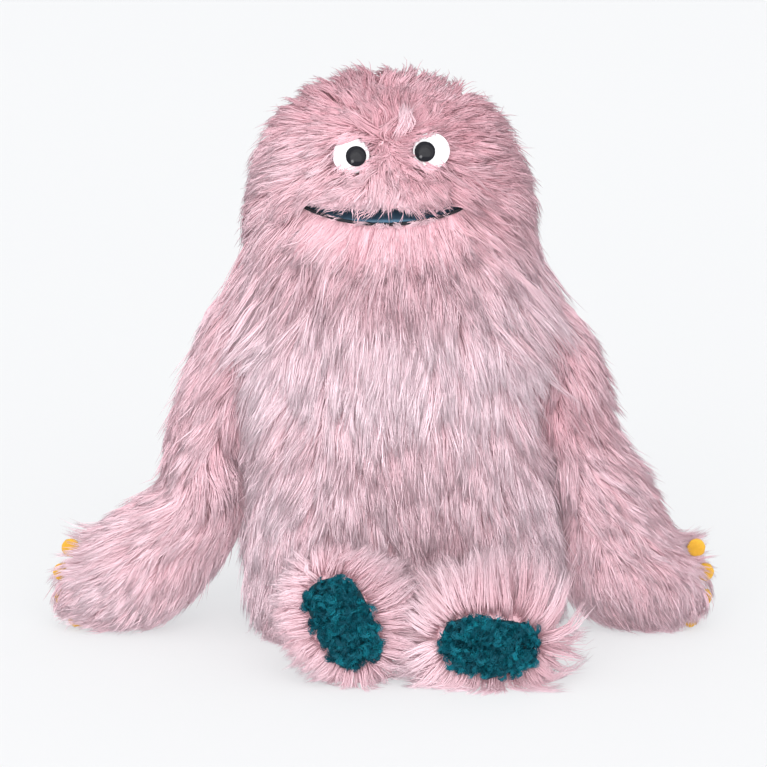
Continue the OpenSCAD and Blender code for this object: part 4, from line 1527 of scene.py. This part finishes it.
def mouth_sheet(name, line, rear_z, board, sign, body, node):
    """Cloth from the fold at the back of the mouth over the board to the lip."""
    x = np.linspace(-MOUTH_HALF_W, MOUTH_HALF_W, 61) * 0.985
    edge = lip_edge(x, line(x))
    rear = np.stack([x * 0.89, np.full(61, -3 * MM), np.full(61, rear_z)], 1)
    rows = []
    for s in np.sin(np.linspace(0, math.pi / 2, 30)):
        p = rear * (1 - s) + edge * s
        on_board = HINGE[2] + board(p[:, 1])
        inner = smooth(1.0, 0.97, s) * smooth(MOUTH_HALF_W * 0.97, MOUTH_HALF_W * 0.7, np.abs(p[:, 0]))
        over = np.maximum(on_board, p[:, 2]) if sign > 0 else np.minimum(on_board, p[:, 2])
        p[:, 2] = mix(p[:, 2], over, inner)
        p[:, 2] += sign * 0.25 * MM * (1 + bumps(p, 0.016, 41)) * math.sin(math.pi * s)
        rows.append(p)
    net = np.array(rows)
    o = solid(name, *grid(net), BLUE, 0.5 * MM)
    hand_over(o, rides(body), "mouth_cloth", node)
    return net


tan_rest = math.tan(math.radians(BOARD_REST))
lower_net = mouth_sheet("lower_mouth_cloth", lip_line, HINGE[2] - 0.7 * MM,
                        lambda y: y * tan_rest - 0.5 * MM, 1, "jaw", "lower_mouth_lining")
upper_net = mouth_sheet("upper_mouth_cloth", upper_line, HINGE[2] + 0.7 * MM,
                        lambda y: 0 * y + 0.8 * MM, -1, "head", "upper_mouth_lining")


def lip_tape(name, net, radius, body, node):
    """Black piping along a lip, from corner to corner."""
    line = net[-1] + np.array([0, -0.5 * MM, 0])
    thick = radius * (1 + 0.08 * np.sin(np.arange(len(line)) * 1.9))
    hand_over(solid(name, *sweep(line, thick, 10), BLACK), rides(body), "black_tape", node)


lip_tape("lower_lip_tape", lower_net, 1.15 * MM, "jaw", "lower_lip_piping")
lip_tape("upper_lip_tape", upper_net, 0.9 * MM, "head", "upper_lip_piping")


def fold():
    """The roll of cloth at the back of the mouth, where the two boards hinge."""
    n = 49
    x = np.linspace(low("mouth_hinge")[0], high("mouth_hinge")[0], n)
    line = np.stack([x, np.full(n, HINGE[1] - 0.4 * MM), np.full(n, HINGE[2])], 1)
    thick = 1.4 * MM * (1 + 0.1 * np.sin(np.arange(n) * 0.9))
    o = solid("mouth_fold_cloth", *sweep(line, thick, 12), BLUE)
    hand_over(o, rides("head_base"), "mouth_cloth", "mouth_hinge")


fold()
# webs of cloth that close the corners of the mouth
for sign, side, column in ((-1, "left", 0), (1, "right", -1)):
    edges = lower_net[:, column], upper_net[:, column]
    between = sum(edges) / 2 - np.array([sign * 0.8 * MM, 0, 0])
    for name, edge, body, end in (("upper", edges[1], "head", 0.3034), ("lower", edges[0], "jaw", 0.302)):
        web = grid(np.array([between, (between + edge) / 2, edge]))
        o = solid(f"{side}_{name}_mouth_corner", *web, BLACK, 0.4 * MM)
        hand_over(o, blends("head_base", body, 0.3027, end), "mouth_cloth")

# ---------------------------------------------------------------- eyes

eye_profile = [(0, 2.7)] + [(11.2 * t, 1.3 + 1.4 * (1 - t * t)) for t in np.linspace(0, 1, 13)[1:]]
eye_profile += [(11.7, 1.05), (12, 0.5), (12, -0.3), (11.6, -0.9), (10.8, -1.2), (3.4, -1.4), (2.6, -1.8),
                (2.4, -2.6), (2.4, -15.4), (1.9, -16), (0, -16)]
pupil_profile = [(0, 3.4)] + [(6.35 * t, 1.9 + 1.5 * (1 - t * t)) for t in np.linspace(0, 1, 9)[1:]]
pupil_profile += [(6.62, 1.7), (6.75, 1.3), (6.75, -0.3), (0, -0.3)]
PUPIL_IN = {"left": 3.2 * MM, "right": -4.2 * MM}


def in_mm(profile):
    return [(r * MM, h * MM) for r, h in profile]


for side, c in EYE_C.items():
    o = solid(side + "_eye_disc", *lathe(in_mm(eye_profile), c, EYE_AXIS, 72), EYE_WHITE)
    hand_over(o, rides("head"), "eye_white", side + "_eye")
    at = c + np.array([PUPIL_IN[side], 0, 0]) - EYE_UP * 0.9 * MM + EYE_AXIS * 1.6 * MM
    o = solid(side + "_pupil_bead", *lathe(in_mm(pupil_profile), at, EYE_AXIS, 56), PUPIL)
    hand_over(o, rides("head"), "pupil", side + "_pupil")

# ---------------------------------------------------------------- soles

SOLE_SQUARE = 3.0
CURL_POINTS = 8
CURL_TAPER = np.array([0.9, 1, 1, 1, 0.95, 0.85, 0.6, 0.0])


def sole_outline(foot, share, y, n=72):
    """A ring of the sole at depth y, a share of its full size, with a slightly uneven edge."""
    a = full_turn(n)
    u, v = squarish(a, SOLE_SQUARE)
    edge = share * (1 + 0.035 * np.sin(3 * a + foot.turn * 3) + 0.02 * np.sin(5 * a))
    p = foot.end + np.outer(u * foot.sole_w * edge, foot.short_way)
    p = p + np.outer(v * foot.sole_l * edge, foot.long_way)
    p[:, 1] = y
    p[:, 1] -= 0.7 * MM * bumps(p, 0.012, 51) * (share < 0.95)
    return p


def sole(side):
    foot = feet[side]
    back, face_y = high(side + "_sole")[1] + 1 * MM, low(side + "_sole")[1]
    rings = [sole_outline(foot, 0.9 * share, back + (face_y - back) * s) for share, s in (
        (0.5, 0), (0.93, 0), (1, 0.2), (1, 0.7), (0.95, 0.95), (0.85, 1.05), (0.6, 1.15), (0.3, 1.2),
        (0.05, 1.2))]
    o = solid(side + "_sole_pad", *tube(rings), TEAL_BACK)
    hand_over(o, rides(side + "_foot"), "teal_pile", side + "_sole")
    # ringlets: each leans its own way, and its hairs turn together
    clumps = int(330 * DENSE)
    a, r = RNG.uniform(0, 2 * math.pi, clumps), np.sqrt(RNG.uniform(0, 1, clumps))
    c, s = np.cos(a), np.sin(a)
    stretch = 1 / (np.abs(c) ** SOLE_SQUARE + np.abs(s) ** SOLE_SQUARE) ** (1 / SOLE_SQUARE)
    cu, cv = 0.88 * r * c * stretch * foot.sole_w, 0.9 * r * s * stretch * foot.sole_l
    rim_of = smooth(0.75, 1.0, r)
    per = 13
    owner = np.repeat(np.arange(clumps), per)
    m = len(owner)
    phase = RNG.uniform(0, 6.28, clumps)[owner] + RNG.normal(0, 0.22, m)
    hand = np.where(RNG.uniform(0, 1, clumps) < 0.5, -1, 1)[owner]
    turns = RNG.uniform(0.9, 1.7, clumps)[owner]
    lean = RNG.normal(0, 1.8 * MM, (clumps, 2)) + np.stack([c, s], 1) * (1.3 * MM * rim_of)[:, None]
    lean = lean[owner]
    wide = RNG.uniform(1.4, 2.7, clumps)[owner] * MM
    rise = (RNG.uniform(2.8, 6.8, clumps) * (1 - 0.45 * rim_of))[owner] * MM
    root_u = cu[owner] + RNG.normal(0, 0.8 * MM, m)
    root_v = cv[owner] + RNG.normal(0, 0.8 * MM, m)
    t = np.linspace(0, 1, CURL_POINTS)[None, :]
    angle = phase[:, None] + hand[:, None] * turns[:, None] * 2 * math.pi * t
    reach = wide[:, None] * smooth(0.0, 0.5, t)
    uu = root_u[:, None] + lean[:, :1] * t + reach * np.cos(angle)
    vv = root_v[:, None] + lean[:, 1:] * t + reach * np.sin(angle)
    yy = face_y + 0.8 * MM - rise[:, None] * np.sin(np.minimum(t * 2.1, 1.9))
    path = foot.end + uu[..., None] * foot.short_way + vv[..., None] * foot.long_way
    path[..., 1] = yy
    path[..., 2] = np.maximum(path[..., 2], FLOOR)
    shade = np.clip(0.42 + 0.36 * RNG.normal(0, 1, clumps)[owner] + 0.12 * RNG.normal(0, 1, m), 0, 0.999)
    o = strand_mesh(side + "_sole_pile", path, 0.3 * MM * RNG.uniform(0.8, 1.2, m), shade, CURL_TAPER, TEAL)
    hand_over(o, rides(side + "_foot"), "teal_pile")


for side in feet:
    sole(side)

# ---------------------------------------------------------------- nails

# two layers of felt with a groove between them
nail_half = [(0, 1.5), (3, 1.5), (5.3, 1.45), (5.95, 1.25), (6.25, 0.85), (6.2, 0.3)]
nail_profile = nail_half + [(5.9, 0)] + [(r, -h) for r, h in reversed(nail_half)]
for side, centres in NAILS.items():
    parts = []
    for c in centres:
        v, f = lathe(in_mm(nail_profile), c, (0, -1, 0), 48)
        parts.append((v + unit(v - c) * (0.22 * MM * bumps(v, 4 * MM, 61))[:, None], f))
    o = solid(side + "_felt_nails", *joined(parts), FELT)
    hand_over(o, rides(side + "_forearm"), "felt", side + "_nails")

NODE_MATERIAL = {"strap": BLACK, "board": BOARD, "washers": EYE_WHITE}
for name, o in frame["nodes"].items():
    for word, m in NODE_MATERIAL.items():
        if word in name:
            o.data.materials.clear()
            o.data.materials.append(m)

# ---------------------------------------------------------------- floor, light, camera

STUDIO_WHITE = (0.965, 0.98, 1.0, 1)
BACKDROP, shader = speckled("backdrop", 0.95, 0.02, 3, (0.285,) * 3, (0.295,) * 3)
shader.inputs["Emission Color"].default_value = STUDIO_WHITE
shader.inputs["Emission Strength"].default_value = 0.56
verts = [(-12, -6, 0), (12, -6, 0), (12, 14, 0), (-12, 14, 0)]
floor = solid("floor", verts, [(0, 1, 2, 3)], BACKDROP)

world = bpy.data.worlds.new("studio")
bpy.context.scene.world = world
world.use_nodes = True
world.node_tree.nodes["Background"].inputs[0].default_value = STUDIO_WHITE
world.node_tree.nodes["Background"].inputs[1].default_value = 0.87


def soft_sun(name, way, strength, spread, shadow=True):
    """A very wide distant light, like a big softbox: way points from the object to the light."""
    data = bpy.data.lights.new(name, "SUN")
    data.use_shadow = shadow
    data.energy, data.angle = strength, math.radians(spread)
    data.color = (1.0, 0.985, 0.97)
    o = bpy.data.objects.new(name, data)
    o.rotation_mode = "QUATERNION"
    o.rotation_quaternion = Vector(way).to_track_quat("Z", "Y")
    bpy.context.scene.collection.objects.link(o)


soft_sun("front", (0.12, -1.0, 0.42), 2.0, 80)
soft_sun("fill", (0.0, -1.0, 0.3), 1.35, 60, shadow=False)
soft_sun("key", (-0.45, -0.55, 1.0), 0.6, 80)

# a small window of light that shows in the pupils
catch = bpy.data.lights.new("catch", "AREA")
catch.shape, catch.size, catch.energy = "DISK", 0.45, 7.0
catch_o = bpy.data.objects.new("catch", catch)
catch_o.location = (-0.6, -1.7, 0.26)
catch_o.rotation_mode = "QUATERNION"
catch_o.rotation_quaternion = (Vector(WHORL) - catch_o.location).to_track_quat("-Z", "Y")
bpy.context.scene.collection.objects.link(catch_o)

bpy.context.scene.view_settings.view_transform = "Standard"

DISTANCE, ELEVATION, AIM = 2.0, math.radians(12), Vector((0, 0, 0.172))
cam = bpy.data.cameras.new("camera")
cam.sensor_width, cam.lens = 36, 138.04
cam.clip_start, cam.clip_end = 0.05, 40
cam_o = bpy.data.objects.new("camera", cam)
back = Vector((0, -math.cos(ELEVATION), math.sin(ELEVATION)))
cam_o.location = AIM + back * DISTANCE
cam_o.rotation_mode = "QUATERNION"
cam_o.rotation_quaternion = (-back).to_track_quat("-Z", "Y")
bpy.context.scene.collection.objects.link(cam_o)
bpy.context.scene.camera = cam_o
